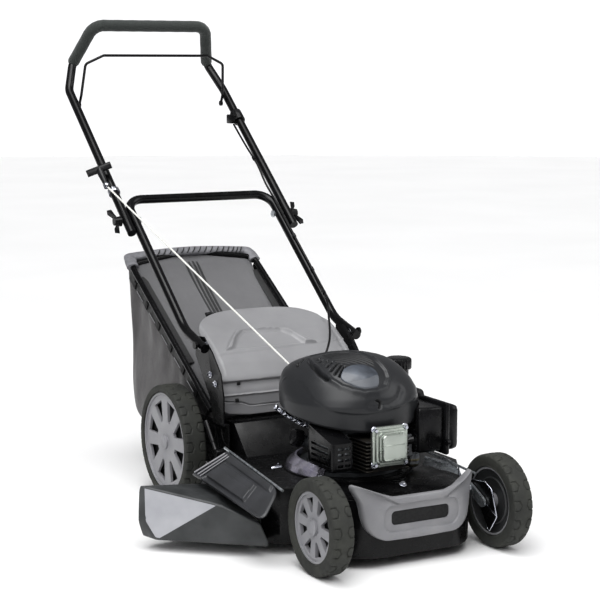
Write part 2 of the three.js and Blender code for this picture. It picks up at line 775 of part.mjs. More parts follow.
/** A point on the front side of the left lower leg, clear of it by the cable's own radius. */
const LEG_BEND = vec(-LOWER_X, 668, lowerZ(668) + 16);
const LEG_TOP = vec(-LOWER_X, CROSS_Y - 4, lowerZ(CROSS_Y - 4));
const onLowerLeg = (share, x) =>
  LEG_BEND.clone().lerp(LEG_TOP, share).add(vec(LOWER_X + x, -10.5, 12.5));
const CABLE = [
  vec(204, STOP_Y - 17, upperZ(STOP_Y - 17) - 4),
  vec(203, 1150, upperZ(1150) + 3),
  vec(201, 1080, upperZ(1080) + 15),
  vec(200, 1030, 708),
  onLowerLeg(0.9, 198),
  onLowerLeg(0.65, 198),
  onLowerLeg(0.3, 198),
  vec(182, 680, 455),
  vec(150, 610, 424),
  vec(90, 500, 380),
  vec(40, 452, 330),
  vec(8, 432, 290),
  vec(0, 430, 258),
];
add(
  "brake_cable",
  tube(new THREE.CatmullRomCurve3(CABLE, false, "centripetal").getSpacedPoints(40), 2.6, 8),
  "cable",
);

// ---- engine ----
const onAxis = (z) => vec(0, CRANK_Y, z);
const SHAFT_R = 12.5;
const COWL_R = 151;
function crankcase() {
  const base = DECK_TOP + 3 + GAP;
  const body = join(
    bar(onAxis(base), onAxis(base + 9), 118, 32),
    bar(onAxis(base + 8), onAxis(236), 64, 28),
    block(vec(-46, 172, base + 4), vec(46, CRANK_Y, 232)),
    bar(vec(-30, 290, 180), vec(-92, 299, 204), 13, 12),
    block(vec(-10, 300, 226), vec(10, 438, 232)),
    block(vec(-10, 424, 228), vec(10, 436, 254)),
    cut(bar(onAxis(234), onAxis(278), 96, 28), bar(onAxis(240), onAxis(290), 93, 28)),
  );
  const spigot = bar(onAxis(base - 30), onAxis(base + 4), 38, 20);
  return cut(join(body, spigot), bar(onAxis(60), onAxis(300), SHAFT_R + 0.6, 12));
}
add("crankcase", crankcase(), "alloy");

function cylinder() {
  const core = block(vec(-36, 92 + GAP, 172), vec(36, 172 - GAP, 231));
  const fins = Array.from({ length: 6 }, (_, i) =>
    block(vec(-52, 96 + i * 11, 166), vec(52, 99.5 + i * 11, 233.5)),
  );
  const pocket = bar(plugAt(-5), plugAt(40), 9.5, 12);
  return cut(join(core, ...fins), pocket);
}
const plugAt = (s) => vec(70 - 0.88 * s, 102 + 0.42 * s, 226 - 0.22 * s);
add("cylinder", cylinder(), "alloy");
add(
  "spark_plug",
  join(
    bar(plugAt(0), plugAt(24), 8, 10, 9),
    bar(plugAt(23), plugAt(36), 6, 10),
  ),
  "blackPlastic",
);

function rockerCover() {
  const flange = softBlock(vec(-43, 84, 180), vec(43, 92, 266), 3);
  const dome = softBlock(vec(-37, 71, 187), vec(37, 88, 259), 6);
  const panel = softBlock(vec(-26, 64, 194), vec(30, 80, 252), 4);
  const bolts = [-36, 36].flatMap((x) =>
    [187, 259].map((z) => bar(vec(x, 88, z), vec(x, 77, z), 6, 8)),
  );
  return join(flange, dome, panel, ...bolts);
}
add("rocker_cover", rockerCover(), "zinc");

const GUARD = { low: vec(-134, 92, 177), high: vec(-83, 204, 268) };
/** Everything under the guard's sloping top, lowered by `drop`. */
const underGuardTop = (drop) =>
  plate(
    [[80, 160], [220, 160], [220, 263 - drop], [196, 263 - drop], [104, 240 - drop], [80, 236 - drop]],
    "x",
    -150,
    80,
  );
function mufflerGuard() {
  const outer = meet(softBlock(GUARD.low, GUARD.high, 8), underGuardTop(0));
  const room = block(GUARD.low.clone().add(vec(3, 3, 3)), GUARD.high.clone().add(vec(9, -3, 0)));
  const rows = [0, 1, 2, 3];
  const front = rows.flatMap((i) =>
    [-122, -105].map((x) => block(vec(x, 88, 188 + i * 12), vec(x + 13, 98, 194 + i * 12))),
  );
  const side = rows.map((i) => block(vec(-138, 112, 188 + i * 12), vec(-128, 184, 193 + i * 12)));
  return cut(outer, meet(room, underGuardTop(3)), ...front, ...side);
}
add("muffler_guard", mufflerGuard(), "blackPlastic");
add("muffler", softBlock(vec(-128, 98, 184), vec(-86, 198, 234), 8), "darkSteel");

function heatShield() {
  const z = DECK_TOP + 3 + GAP;
  const shell = turned(
    [[122, z], [138, z], [134, z + 12], [118, z + 25], [113, z + 25], [119, z + 12], [122, z]],
    0,
    CRANK_Y,
    32,
  );
  return meet(shell, block(vec(-150, 190, 100), vec(-60, 360, 240)));
}
add("heat_shield", heatShield(), "chrome");

const OIL = { foot: vec(-94, 299.3, 204.9), top: vec(-118, 302.7, 214.3) };
function oilCap() {
  const axis = OIL.top.clone().sub(OIL.foot).normalize();
  const grip = OIL.top.clone().addScaledVector(axis, 14);
  const bladeOfGrip = new ConvexGeometry(
    [-1, 1].flatMap((s) =>
      [-1, 1].flatMap((t) => [
        OIL.top.clone().add(vec(0, 16 * s, 0)).addScaledVector(vec(-axis.z, 0, axis.x), 3 * t),
        grip.clone().add(vec(0, 13 * s, 0)).addScaledVector(vec(-axis.z, 0, axis.x), 3 * t),
      ]),
    ),
  );
  return join(bar(OIL.foot, OIL.top, 20, 16), bladeOfGrip);
}
add("oil_cap", oilCap(), "blackPlastic");

function carburettor() {
  return join(
    block(vec(58, 150, 178), vec(96, 186, 226)),
    block(vec(86, 154, 176), vec(118, 186, 184)),
    bar(vec(108, 168, 157), vec(108, 168, 180), 16, 16),
    bar(vec(108, 168, 150), vec(108, 168, 158), 5, 8),
  );
}
add("carburettor", carburettor(), "brass");

function airBox() {
  const clearOfCowl = (gap, low) => bar(onAxis(low), onAxis(400), COWL_R + gap, 32);
  const outer = cut(softBlock(vec(99, 128, 186), vec(163, 226, 284), 6), clearOfCowl(2, 236));
  const inner = cut(block(vec(105, 134, 192), vec(170, 220, 278)), clearOfCowl(6, 232));
  return cut(outer, inner);
}
add("air_filter_box", airBox(), "blackPlastic");
add("air_filter_element", block(vec(110, 138, 196), vec(160, 216, 228)), "foam");
function airCover() {
  const flange = softBlock(vec(163 + GAP, 121, 176), vec(176, 233, 292), 6);
  const dome = softBlock(vec(170, 128, 184), vec(204, 226, 284), 12);
  return join(flange, dome, bar(vec(150 + 14, 118, 205), vec(172, 118, 205), 7, 10));
}
add("air_filter_cover", airCover(), "blackPlastic");

const CAP = vec(172, 330, 0);
function fuelTank() {
  const body = softBlock(vec(96, 262, 186), vec(206, 424, 296), 14);
  const neck = bar(vec(CAP.x, CAP.y, 290), vec(CAP.x, CAP.y, 333), 24, 20);
  return cut(join(body, neck), bar(onAxis(150), onAxis(400), COWL_R + 5, 48));
}
add("fuel_tank", fuelTank(), "blackPlastic");
function fuelCap() {
  const rim = ring(31, 24).map(([x, y], i) => [
    CAP.x + x * (i % 2 ? 1 : 0.95),
    CAP.y + y * (i % 2 ? 1 : 0.95),
  ]);
  return plate(rim, "z", 333 + GAP, 27);
}
add("fuel_cap", fuelCap(), "blackPlastic");

/** The starter cowl: a dome with a slanted lower edge, cooling slots and a notch for the rope. */
function cowl() {
  const t = 3;
  const outline = [[151, 300], [144, 322], [129, 345], [106, 368], [76, 385], [40, 393], [0, 396]];
  const outer = turned([[0, 236], [149, 236], [COWL_R, 262], ...outline], 0, CRANK_Y, 32);
  const within = outline.map(([r, z]) => [Math.max(r - t, 0), z - t]);
  const inner = turned([[0, 226], [146, 226], [COWL_R - t, 262], ...within], 0, CRANK_Y, 32);
  const skirt = plate([[90, 200], [430, 200], [430, 302], [205, 268], [150, 257], [90, 243]], "x", -170, 340);
  const slots = Array.from({ length: 7 }, (_, i) =>
    block(vec(-62 + i * 17, 190 - i * 3, 350), vec(-54 + i * 17, 262, 420)),
  );
  const notch = bar(ROPE_AIM.clone().addScaledVector(ropeRun, -30), ROPE_AIM.clone().addScaledVector(ropeRun, 40), 9, 12);
  return cut(outer, inner, skirt, ...slots, notch);
}
add("engine_cowl", cowl(), "darkPlastic");

function flywheel() {
  const vanes = Array.from({ length: 12 }, (_, i) =>
    block(vec(52, -2, 262), vec(88, 2, 280))
      .rotateZ(rad(30 * i))
      .translate(0, CRANK_Y, 0),
  );
  return cut(join(bar(onAxis(244), onAxis(264), 90, 28), ...vanes), bar(onAxis(240), onAxis(300), SHAFT_R + 0.5, 12));
}
add("flywheel", flywheel(), "alloy");
add(
  "recoil_pulley",
  turned([[0, 304], [44, 304], [44, 307], [34, 308], [34, 314], [44, 315], [44, 318], [0, 318]], 0, CRANK_Y, 24),
  "blackPlastic",
);
add("crankshaft", join(bar(onAxis(53), onAxis(296), SHAFT_R, 16)), "steel");

// ---- blade ----
/** A flat bar blade with lifted trailing tips. */
function blade() {
  const tip = (side) =>
    new ConvexGeometry(
      [[150, 26, 0], [BLADE_R, 26, 16], [150, 8, 0], [BLADE_R, 8, 0]].flatMap(([x, y, z]) => [
        vec(side * x, CRANK_Y + side * y, BLADE_Z + z),
        vec(side * x, CRANK_Y + side * y, BLADE_Z + 4 + z),
      ]),
    );
  const flat = block(vec(-BLADE_R, CRANK_Y - 26, BLADE_Z), vec(BLADE_R, CRANK_Y + 26, BLADE_Z + 4));
  const trimmed = cut(
    flat,
    block(vec(152, CRANK_Y + 8, BLADE_Z - 1), vec(BLADE_R + 1, CRANK_Y + 30, BLADE_Z + 5)),
    block(vec(-BLADE_R - 1, CRANK_Y - 30, BLADE_Z - 1), vec(-152, CRANK_Y - 8, BLADE_Z + 5)),
  );
  return cut(join(trimmed, tip(1), tip(-1)), bar(onAxis(20), onAxis(60), 6 + GAP, 12));
}
add("blade", blade(), "steel");
add("blade_boss", join(bar(onAxis(BLADE_Z + 4 + GAP), onAxis(53 - GAP), 24, 20)), "darkSteel");
add("blade_bolt", join(bar(onAxis(27), onAxis(BLADE_Z - GAP), 13, 6)), "steel");

// ---- grass bag ----
/** The bag's side profile, as [y, z]. */
const BAG_SIDE = [
  [590, 84],
  [590, 236],
  [640, 258],
  [760, 330],
  [900, 418],
  [1050, 512],
  [1070, 506],
  [1076, 420],
  [1070, 310],
  [1090, 190],
  [1066, 122],
  [1000, 104],
];
/** The profile moved towards its middle by about `t`, with the mouth end carried out to the front. */
const BAG_INSIDE = [
  [560, 92],
  [560, 228],
  [592, 230],
  [642, 252],
  [761, 324],
  [901, 412],
  [1048, 504],
  [1062, 496],
  [1070, 418],
  [1064, 310],
  [1082, 190],
  [1061, 128],
  [999, 112],
  [600, 92],
];
add(
  "bag_fabric",
  cut(
    plate(BAG_SIDE, "x", -BAG_HALF, 2 * BAG_HALF),
    plate(BAG_INSIDE, "x", -BAG_HALF + BAG_WALL, 2 * (BAG_HALF - BAG_WALL)),
  ),
  "fabric",
);

/** The bag's plastic frame: a rim round the top and a ring round the mouth. */
function bagFrame() {
  const half = [
    vec(-174, 584, 226),
    vec(-174, 640, 259),
    vec(-174, 1050, 514),
    vec(-150, 1086, 528),
    vec(0, 1086, 536),
  ];
  const rim = tube(bothSides(rounded(half, 24, 3).slice(0, -1)), 7.5, 8);
  const mouth = cut(
    block(vec(-163, 577, 76), vec(163, 589, 248)),
    block(vec(-150, 570, 90), vec(150, 595, 229)),
  );
  const lugs = [-1, 1].map((s) =>
    block(
      vec(s > 0 ? 150 : -178, 579, 222),
      vec(s > 0 ? 178 : -150, 588.5, 238),
    ),
  );
  return join(rim, mouth, ...lugs);
}
add("bag_frame", bagFrame(), "darkPlastic");

// The part's origin is the bottom centre of its box.
mower.updateMatrixWorld(true);
const extent = new THREE.Box3().setFromObject(mower, true);
const root = new THREE.Group();
mower.position.set(
  -(extent.min.x + extent.max.x) / 2,
  -(extent.min.y + extent.max.y) / 2,
  -extent.min.z,
);
root.add(mower);

export default root;
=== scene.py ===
# %% [markdown]
# # A push lawn mower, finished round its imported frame
# The frame holds every moving part at its true size. This lesson gives each
# part the surface that the real machine has: moulded grips and covers, enamelled
# pressings, plated steel, cast alloy, rubber and sewn cloth. New pieces are
# surfaces worked out as whole arrays of points.
# %% Load the frame
import json
import math

import bmesh
import bpy
import numpy as np
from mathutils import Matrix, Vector

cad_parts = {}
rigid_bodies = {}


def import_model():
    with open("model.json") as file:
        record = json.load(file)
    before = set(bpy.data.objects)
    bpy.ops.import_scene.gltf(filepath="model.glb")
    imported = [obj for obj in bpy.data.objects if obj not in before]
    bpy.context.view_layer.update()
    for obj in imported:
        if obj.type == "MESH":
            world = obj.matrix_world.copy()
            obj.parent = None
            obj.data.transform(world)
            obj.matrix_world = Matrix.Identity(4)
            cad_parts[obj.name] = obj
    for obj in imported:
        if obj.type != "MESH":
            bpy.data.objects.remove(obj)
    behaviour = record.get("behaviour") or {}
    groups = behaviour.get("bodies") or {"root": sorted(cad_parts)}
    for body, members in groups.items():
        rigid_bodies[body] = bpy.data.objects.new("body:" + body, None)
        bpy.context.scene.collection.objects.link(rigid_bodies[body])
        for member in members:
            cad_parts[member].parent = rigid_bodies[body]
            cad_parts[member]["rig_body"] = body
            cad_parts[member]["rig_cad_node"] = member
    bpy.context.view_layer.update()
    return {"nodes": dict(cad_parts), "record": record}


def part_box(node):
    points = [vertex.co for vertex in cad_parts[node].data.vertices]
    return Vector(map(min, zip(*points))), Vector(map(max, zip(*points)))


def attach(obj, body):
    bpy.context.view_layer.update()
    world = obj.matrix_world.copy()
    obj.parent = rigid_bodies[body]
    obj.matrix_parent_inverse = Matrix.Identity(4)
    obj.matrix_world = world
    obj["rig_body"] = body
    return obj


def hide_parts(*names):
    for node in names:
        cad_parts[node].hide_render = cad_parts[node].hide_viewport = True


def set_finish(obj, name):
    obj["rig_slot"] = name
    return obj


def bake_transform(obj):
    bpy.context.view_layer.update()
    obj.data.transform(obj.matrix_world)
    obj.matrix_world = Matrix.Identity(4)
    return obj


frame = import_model()
BODY_OF = {node: body for body, nodes in frame["record"]["behaviour"]["bodies"].items() for node in nodes}
SLOT_OF = {row["node"]: row["material_slot"] for row in frame["record"]["subparts"]}

# %% [markdown]
# The machine was drawn in millimetres from the point on the ground under the
# middle of the front axle. `at` turns such numbers into metres in the frame, and
# finds that point from the two front tyres, so nothing depends on where the
# frame's own origin lies.
# %% Millimetres from the front axle
MM = 0.001
right_low, right_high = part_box("tyre_front_right")
_, left_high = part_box("tyre_front_left")
ORIGIN = np.array([(right_low.x + left_high.x) / 2, (right_low.y + right_high.y) / 2, 0.0])


def at(points):
    """Points in millimetres from the ground under the front axle, as metres in the frame."""
    return np.asarray(points, float) * MM + ORIGIN


print("front axle's ground point:", ORIGIN.round(4))

# %% [markdown]
# The camera stands ahead of the mower on its right, a little above the engine,
# with a long lens, so the handle recedes without much perspective.
# %% Camera
CAMERA_AT = (-1793.9, -2798.6, 1014.9)
CAMERA_AZIMUTH, CAMERA_ELEVATION = math.radians(-28.7), math.radians(8.1)
camera = bpy.data.objects.new("camera", bpy.data.cameras.new("camera"))
bpy.context.scene.collection.objects.link(camera)
camera.data.sensor_width = 36.0
camera.data.lens = 99.3
camera.data.clip_end = 100.0
camera.location = at(CAMERA_AT)
camera.rotation_mode = "QUATERNION"
camera.rotation_quaternion = Vector((
    -math.sin(CAMERA_AZIMUTH) * math.cos(CAMERA_ELEVATION),
    math.cos(CAMERA_AZIMUTH) * math.cos(CAMERA_ELEVATION),
    -math.sin(CAMERA_ELEVATION),
)).to_track_quat("-Z", "Y")
bpy.context.scene.camera = camera
print("camera:", [round(c, 3) for c in camera.location])

# %% [markdown]
# ## Building surfaces
# A piece is a grid of points. Rows run along it and columns run across or round
# it. Joining each point to its neighbours gives quads, and a wrapped direction
# joins its last line to its first.
# %% Grids to meshes
def grid_faces(rows, columns, wrap_rows=False, wrap_columns=False):
    """Quads between each grid point and its neighbours one row and one column on."""
    r = np.arange(rows if wrap_rows else rows - 1)
    c = np.arange(columns if wrap_columns else columns - 1)
    r, c = (a.ravel() for a in np.meshgrid(r, c, indexing="ij"))
    r2, c2 = (r + 1) % rows, (c + 1) % columns
    return np.stack([r * columns + c, r * columns + c2, r2 * columns + c2, r2 * columns + c], -1)


def fix_normals(mesh, merge=1e-6):
    """Merges doubled points and turns every face of a closed mesh outward."""
    b = bmesh.new()
    b.from_mesh(mesh)
    bmesh.ops.remove_doubles(b, verts=b.verts, dist=merge)
    bmesh.ops.dissolve_degenerate(b, dist=1e-7, edges=b.edges)
    bmesh.ops.recalc_face_normals(b, faces=b.faces)
    b.to_mesh(mesh)
    b.free()


def piece(name, points, faces, body, slot, material, replaces=(), sharp=None, closed=True):
    """A mesh of `points` (metres) on CAD body `body`, smooth but for edges past `sharp` degrees."""
    mesh = bpy.data.meshes.new(name)
    mesh.from_pydata(np.asarray(points, float).reshape(-1, 3).tolist(), [], [list(f) for f in faces])
    if closed:
        fix_normals(mesh)
    mesh.update()
    mesh.polygons.foreach_set("use_smooth", [True] * len(mesh.polygons))
    if sharp is not None:
        mesh.set_sharp_from_angle(angle=math.radians(sharp))
    made = bpy.data.objects.new(name, mesh)
    bpy.context.scene.collection.objects.link(made)
    made.data.materials.append(material)
    if isinstance(body, str):
        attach(made, body)
    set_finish(made, slot)
    if replaces:
        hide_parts(*replaces)
    return made


def skin(name, grid, body, slot, material, wrap_columns=True, ends=True, wrap_rows=False, **more):
    """A piece from a grid of millimetre points; `ends` closes its first and last rows."""
    rows, columns = grid.shape[:2]
    faces = [tuple(f) for f in grid_faces(rows, columns, wrap_rows, wrap_columns)]
    if ends and not wrap_rows:
        last = (rows - 1) * columns
        faces += [tuple(range(columns))[::-1], tuple(range(last, last + columns))]
    return piece(name, at(grid), faces, body, slot, material, **more)


def finished(made, bevel=None, segments=2, thickness=None, subdivide=0, weighted=False, even=True):
    """Adds the modifiers that finish a piece: wall thickness, rounded edges, subdivision."""
    if thickness:
        solid = made.modifiers.new("wall", "SOLIDIFY")
        solid.thickness, solid.offset = thickness * MM, -1.0
        solid.use_even_offset = even
    if bevel:
        round_edges = made.modifiers.new("rounded_edges", "BEVEL")
        round_edges.width, round_edges.segments = bevel * MM, segments
        round_edges.limit_method, round_edges.angle_limit = "ANGLE", math.radians(28)
        round_edges.use_clamp_overlap = True
    if subdivide:
        smooth = made.modifiers.new("smooth", "SUBSURF")
        smooth.levels = smooth.render_levels = subdivide
    if weighted:
        made.modifiers.new("weighted", "WEIGHTED_NORMAL").keep_sharp = True
    return made


# %% [markdown]
# Four ways of making a grid cover almost every part: a section carried along a
# path, a profile turned about an axis, a box with rounded edges, and a copy of a
# CAD node whose edges are rounded.
# %% Paths and tubes
def rounded_path(turns, radii, steps=8):
    """Straight runs between `turns`; each inner turn is an arc: centre + r(cos a, sin a) in its plane."""
    turns = np.asarray(turns, float)
    radii = np.broadcast_to(radii, len(turns) - 2)
    line = [turns[:1]]
    for before, here, after, radius in zip(turns[:-2], turns[1:-1], turns[2:], radii):
        back, on = before - here, after - here
        back, on = back / np.linalg.norm(back), on / np.linalg.norm(on)
        half = math.acos(np.clip(back @ on, -1, 1)) / 2
        reach = radius / math.tan(half)
        start, end = here + back * reach, here + on * reach
        middle = here + (back + on) / np.linalg.norm(back + on) * radius / math.sin(half)
        u = (start - middle) / radius
        v = (end - middle) - ((end - middle) @ u) * u
        v /= np.linalg.norm(v)
        a = np.linspace(0, math.pi - 2 * half, steps + 1)[:, None]
        line.append(middle + radius * (np.cos(a) * u + np.sin(a) * v))
    return np.concatenate([*line, turns[-1:]])


def frames(path, up=(0, 0, 1)):
    """Direction and two square axes at each station, turned as little as possible on the way."""
    path = np.asarray(path, float)
    direction = np.gradient(path, axis=0)
    direction /= np.linalg.norm(direction, axis=1)[:, None]
    side = np.zeros_like(path)
    last = np.asarray(up, float) if abs(direction[0] @ up) < 0.99 else np.array([0.0, 1.0, 0.0])
    for i, d in enumerate(direction):
        last = last - (last @ d) * d
        last = last / np.linalg.norm(last)
        side[i] = last
    return direction, side, np.cross(direction, side)


def swept(path, section, up=(0, 0, 1), scale=None):
    """Grid of a flat section carried along a path: station + s0 * up-axis + s1 * side-axis."""
    path, section = np.asarray(path, float), np.asarray(section, float)
    _, a, b = frames(path, up)
    scale = np.ones(len(path)) if scale is None else np.asarray(scale, float)
    flat = section[None] * scale[:, None, None]
    return path[:, None] + flat[..., :1] * a[:, None] + flat[..., 1:] * b[:, None]


def circle(radius, sides=20, start=0.0):
    """Points (r cos a, r sin a) round a circle."""
    a = start + np.linspace(0, 2 * math.pi, sides, endpoint=False)
    return np.stack([radius * np.cos(a), radius * np.sin(a)], -1)


def smooth_line(points, count):
    """A curve through points: each stretch is a cubic that shares its neighbours' directions."""
    points = np.asarray(points, float)
    padded = np.vstack([2 * points[0] - points[1], points, 2 * points[-1] - points[-2]])
    length = np.r_[0, np.cumsum(np.linalg.norm(np.diff(points, axis=0), axis=1))]
    where = np.linspace(0, length[-1], count)
    i = np.clip(np.searchsorted(length, where, side="right") - 1, 0, len(points) - 2)
    t = ((where - length[i]) / (length[i + 1] - length[i]))[:, None]
    p0, p1, p2, p3 = padded[i], padded[i + 1], padded[i + 2], padded[i + 3]
    return 0.5 * (2 * p1 + (p2 - p0) * t + (2 * p0 - 5 * p1 + 4 * p2 - p3) * t**2
                  + (3 * p1 - p0 - 3 * p2 + p3) * t**3)

# %% [markdown]
# Wheels, caps and bolts are made on a lathe or in a round die, so they are profiles
# turned about an axis. Moulded blocks have rounded edges, so a box is drawn as eight
# octants of a ball pulled apart. Both give even quads with no later cutting.
# %% Turned shapes and soft boxes
def turned(profile, foot, axis=(0, 0, 1), sides=48, start=(1, 0, 0.001)):
    """Grid of a profile (radius, height) turned about an axis: foot + height * axis + radius * spoke."""
    profile, axis = np.asarray(profile, float), np.asarray(axis, float)
    axis = axis / np.linalg.norm(axis)
    u = np.asarray(start, float) - (np.asarray(start, float) @ axis) * axis
    u /= np.linalg.norm(u)
    v = np.cross(axis, u)
    a = np.linspace(0, 2 * math.pi, sides, endpoint=False)
    spoke = np.cos(a)[:, None] * u + np.sin(a)[:, None] * v
    return np.asarray(foot, float) + profile[:, 1, None, None] * axis + profile[:, 0, None,
        None] * spoke[None]


def soft_box_grid(low, high, radius, steps=4):
    """Rounded box: each corner point is its octant's inner corner plus radius times a direction."""
    low, high = np.asarray(low, float), np.asarray(high, float)
    middle, half = (low + high) / 2, (high - low) / 2 - radius
    quarter = np.linspace(0, math.pi / 2, steps)
    around = (quarter[None] + np.arange(4)[:, None] * math.pi / 2).ravel()
    sx = np.repeat([1, -1, -1, 1], steps)
    sy = np.repeat([1, 1, -1, -1], steps)
    rise = np.r_[quarter - math.pi / 2, quarter]
    sz = np.repeat([-1, 1], steps)
    away = np.stack(np.broadcast_arrays(
        np.cos(rise)[:, None] * np.cos(around), np.cos(rise)[:, None] * np.sin(around), np.sin(rise)[:, None]
    ), -1)
    corner = np.stack(np.broadcast_arrays(sx[None] * half[0], sy[None] * half[1], sz[:, None] * half[2]), -1)
    return middle + corner + radius * away


def soft_box(name, low, high, radius, body, slot, material, **more):
    """A rounded box as a finished piece."""
    return finished(skin(name, soft_box_grid(low, high, radius), body, slot, material, **more), weighted=True)


def joined(name, grids, body, slot, material, **more):
    """One piece of several closed grids that share a finish: knobs, bolts, ribs."""
    points, faces, start = [], [], 0
    for grid in grids:
        rows, columns = grid.shape[:2]
        faces += [tuple(f) for f in grid_faces(rows, columns, False, True) + start]
        last = start + (rows - 1) * columns
        faces += [tuple(range(start, start + columns))[::-1], tuple(range(last, last + columns))]
        points.append(grid.reshape(-1, 3))
        start += rows * columns
    return piece(name, at(np.concatenate(points)), faces, body, slot, material, **more)


def bolt_head(foot, axis, across, height, washer=None, sides=6):
    """Grids of a hexagon head with a chamfered top, and of the washer under it."""
    r = across / 2
    shapes = [turned([(r * 0.98, 0), (r, 0.3), (r, height * 0.8), (r * 0.86, height), (0.01, height)],
                     foot, axis, sides)]
    if washer:
        shapes.append(turned([(washer, -0.2), (washer, 1.0), (washer * 0.95, 1.3), (0.01, 1.3)], foot,
                             axis, 24))
    return shapes

# %% [markdown]
# Some frame parts already have the right shape and only lack the small radius that
# catches the light. These are copied, and the copy's edges are bevelled. The frame
# part itself stays as it is.
# %% Copies of CAD nodes with rounded edges
def refined(node, material, bevel=1.0, segments=2, sharp=32):
    """A copy of a CAD node: triangles merged, flat faces joined, and its edges rounded."""
    made = frame["nodes"][node].copy()
    made.data = frame["nodes"][node].data.copy()
    made.name = made.data.name = node + "_finished"
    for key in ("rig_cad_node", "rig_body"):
        if key in made:
            del made[key]
    bpy.context.scene.collection.objects.link(made)
    made.parent = None
    b = bmesh.new()
    b.from_mesh(made.data)
    bmesh.ops.remove_doubles(b, verts=b.verts, dist=2e-5)
    bmesh.ops.dissolve_limit(b, angle_limit=math.radians(1.0), verts=b.verts, edges=b.edges)
    b.to_mesh(made.data)
    b.free()
    made.data.polygons.foreach_set("use_smooth", [True] * len(made.data.polygons))
    made.data.set_sharp_from_angle(angle=math.radians(sharp))
    made.data.materials.clear()
    made.data.materials.append(material)
    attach(made, BODY_OF[node])
    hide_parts(node)
    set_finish(made, SLOT_OF[node])
    return finished(made, bevel=bevel, segments=segments)


# %% [markdown]
# ## Finishes
# Each finish is a Principled shader, fed by a few noise patterns in Object
# coordinates. The patterns do three things that one flat colour can't: they
# mottle the colour a little, they make the gloss uneven as handling does, and
# they raise a fine relief such as moulding grain or the orange peel of paint.
# %% One helper for nodes, and colour
def colour(code):
    """Linear RGBA of an sRGB hex: c / 12.92 below 0.04045, else ((c + 0.055) / 1.055) ** 2.4."""
    c = np.array([int(code[i:i + 2], 16) for i in (1, 3, 5)]) / 255
    return (*np.where(c <= 0.04045, c / 12.92, ((c + 0.055) / 1.055) ** 2.4), 1.0)


def add(tree, kind, values=None, **settings):
    """Adds a shader node. `values` maps an input to a value, or to the output it is linked from."""
    made = tree.nodes.new("ShaderNode" + kind)
    for key, value in settings.items():
        setattr(made, key, value)
    for key, value in (values or {}).items():
        if isinstance(value, bpy.types.NodeSocket):
            tree.links.new(value, made.inputs[key])
        else:
            made.inputs[key].default_value = value
    return made


def finish(name, code, rough, metal=0.0, mottle=None, wear=None, relief=None, pattern=None, **sockets):
    """A Principled material.

    mottle = (second colour, size in mm): noise mixes the colour with a second one.
    wear = (change in roughness, size in mm): noise makes the gloss uneven.
    relief = (height in mm, size in mm): noise raises the surface.
    pattern = a function of the tree that returns (colour or None, height or None).
    """
    made = bpy.data.materials.new(name)
    made.use_nodes = True
    tree = made.node_tree
    shader = tree.nodes["Principled BSDF"]
    shader.inputs["Base Color"].default_value = colour(code)
    shader.inputs["Roughness"].default_value = rough
    shader.inputs["Metallic"].default_value = metal
    for key, value in sockets.items():
        shader.inputs[key.replace("_", " ").title().replace("Ior", "IOR")].default_value = value
    place = add(tree, "TexCoord").outputs["Object"]
    tint, height = pattern(tree) if pattern else (None, None)
    if mottle:
        cloud = add(tree, "TexNoise", {"Vector": place, "Scale": 1 / (mottle[1] * MM), "Detail": 3.0})
        steps = add(tree, "MapRange", {"Value": cloud.outputs["Fac"], "From Min": 0.35, "From Max": 0.65})
        mixed = add(tree, "Mix", {"Factor": steps.outputs["Result"]}, data_type="RGBA")
        if tint is not None:
            tree.links.new(tint, mixed.inputs[6])
        else:
            mixed.inputs[6].default_value = colour(code)
        mixed.inputs[7].default_value = colour(mottle[0])
        tint = mixed.outputs[2]
    if tint is not None:
        tree.links.new(tint, shader.inputs["Base Color"])
    if wear:
        rub = add(tree, "TexNoise", {"Vector": place, "Scale": 1 / (wear[1] * MM), "Detail": 5.0})
        spread = {"Value": rub.outputs["Fac"], "From Min": 0.3, "From Max": 0.7}
        spread.update({"To Min": rough - wear[0], "To Max": rough + wear[0]})
        tree.links.new(add(tree, "MapRange", spread).outputs["Result"], shader.inputs["Roughness"])
    if relief:
        grain = add(tree, "TexNoise", {"Vector": place, "Scale": 1 / (relief[1] * MM), "Detail": 2.0})
        bump = {"Height": grain.outputs["Fac"], "Distance": relief[0] * MM, "Strength": 1.0}
        if height is not None:
            bump["Normal"] = height
        height = add(tree, "Bump", bump).outputs["Normal"]
    if height is not None:
        tree.links.new(height, shader.inputs["Normal"])
    return made


# %% [markdown]
# Three patterns need more than noise. Galvanised plate has a spangle of zinc
# crystals, woven cloth has threads that cross, and foam is a crowd of cells.
# The thread and cell patterns are drawn a little coarser than real, so that
# they still show at arm's length.
# %% Spangle, weave and cells
def spangle(light, dark, size):
    """Zinc crystals: each Voronoi cell, `size` mm across, has its own grey."""
    def build(tree):
        place = add(tree, "TexCoord").outputs["Object"]
        cells = add(tree, "TexVoronoi", {"Vector": place, "Scale": 1 / (size * MM)})
        grey = add(tree, "SeparateColor", {"Color": cells.outputs["Color"]}).outputs["Red"]
        mixed = add(tree, "Mix", {"Factor": grey, 6: colour(dark), 7: colour(light)}, data_type="RGBA")
        return mixed.outputs[2], None
    return build


def weave(light, dark, thread, height):
    """Plain weave on the UV map, whose unit is a metre: two bands of threads `thread` mm apart that cross,
    darker where they dip as a painted shade between the threads.
    """
    def build(tree):
        place = add(tree, "UVMap").outputs["UV"]
        run = {"Vector": place, "Scale": 2 * math.pi / 20 / (thread * MM)}
        warp = add(tree, "TexWave", run, bands_direction="X").outputs["Fac"]
        weft = add(tree, "TexWave", run, bands_direction="Y").outputs["Fac"]
        crossed = add(tree, "Math", {0: warp, 1: weft}, operation="MULTIPLY").outputs[0]
        mixed = add(tree, "Mix", {"Factor": crossed, 6: colour(dark), 7: colour(light)}, data_type="RGBA")
        bump = add(tree, "Bump", {"Height": crossed, "Distance": height * MM}).outputs["Normal"]
        return mixed.outputs[2], bump
    return build


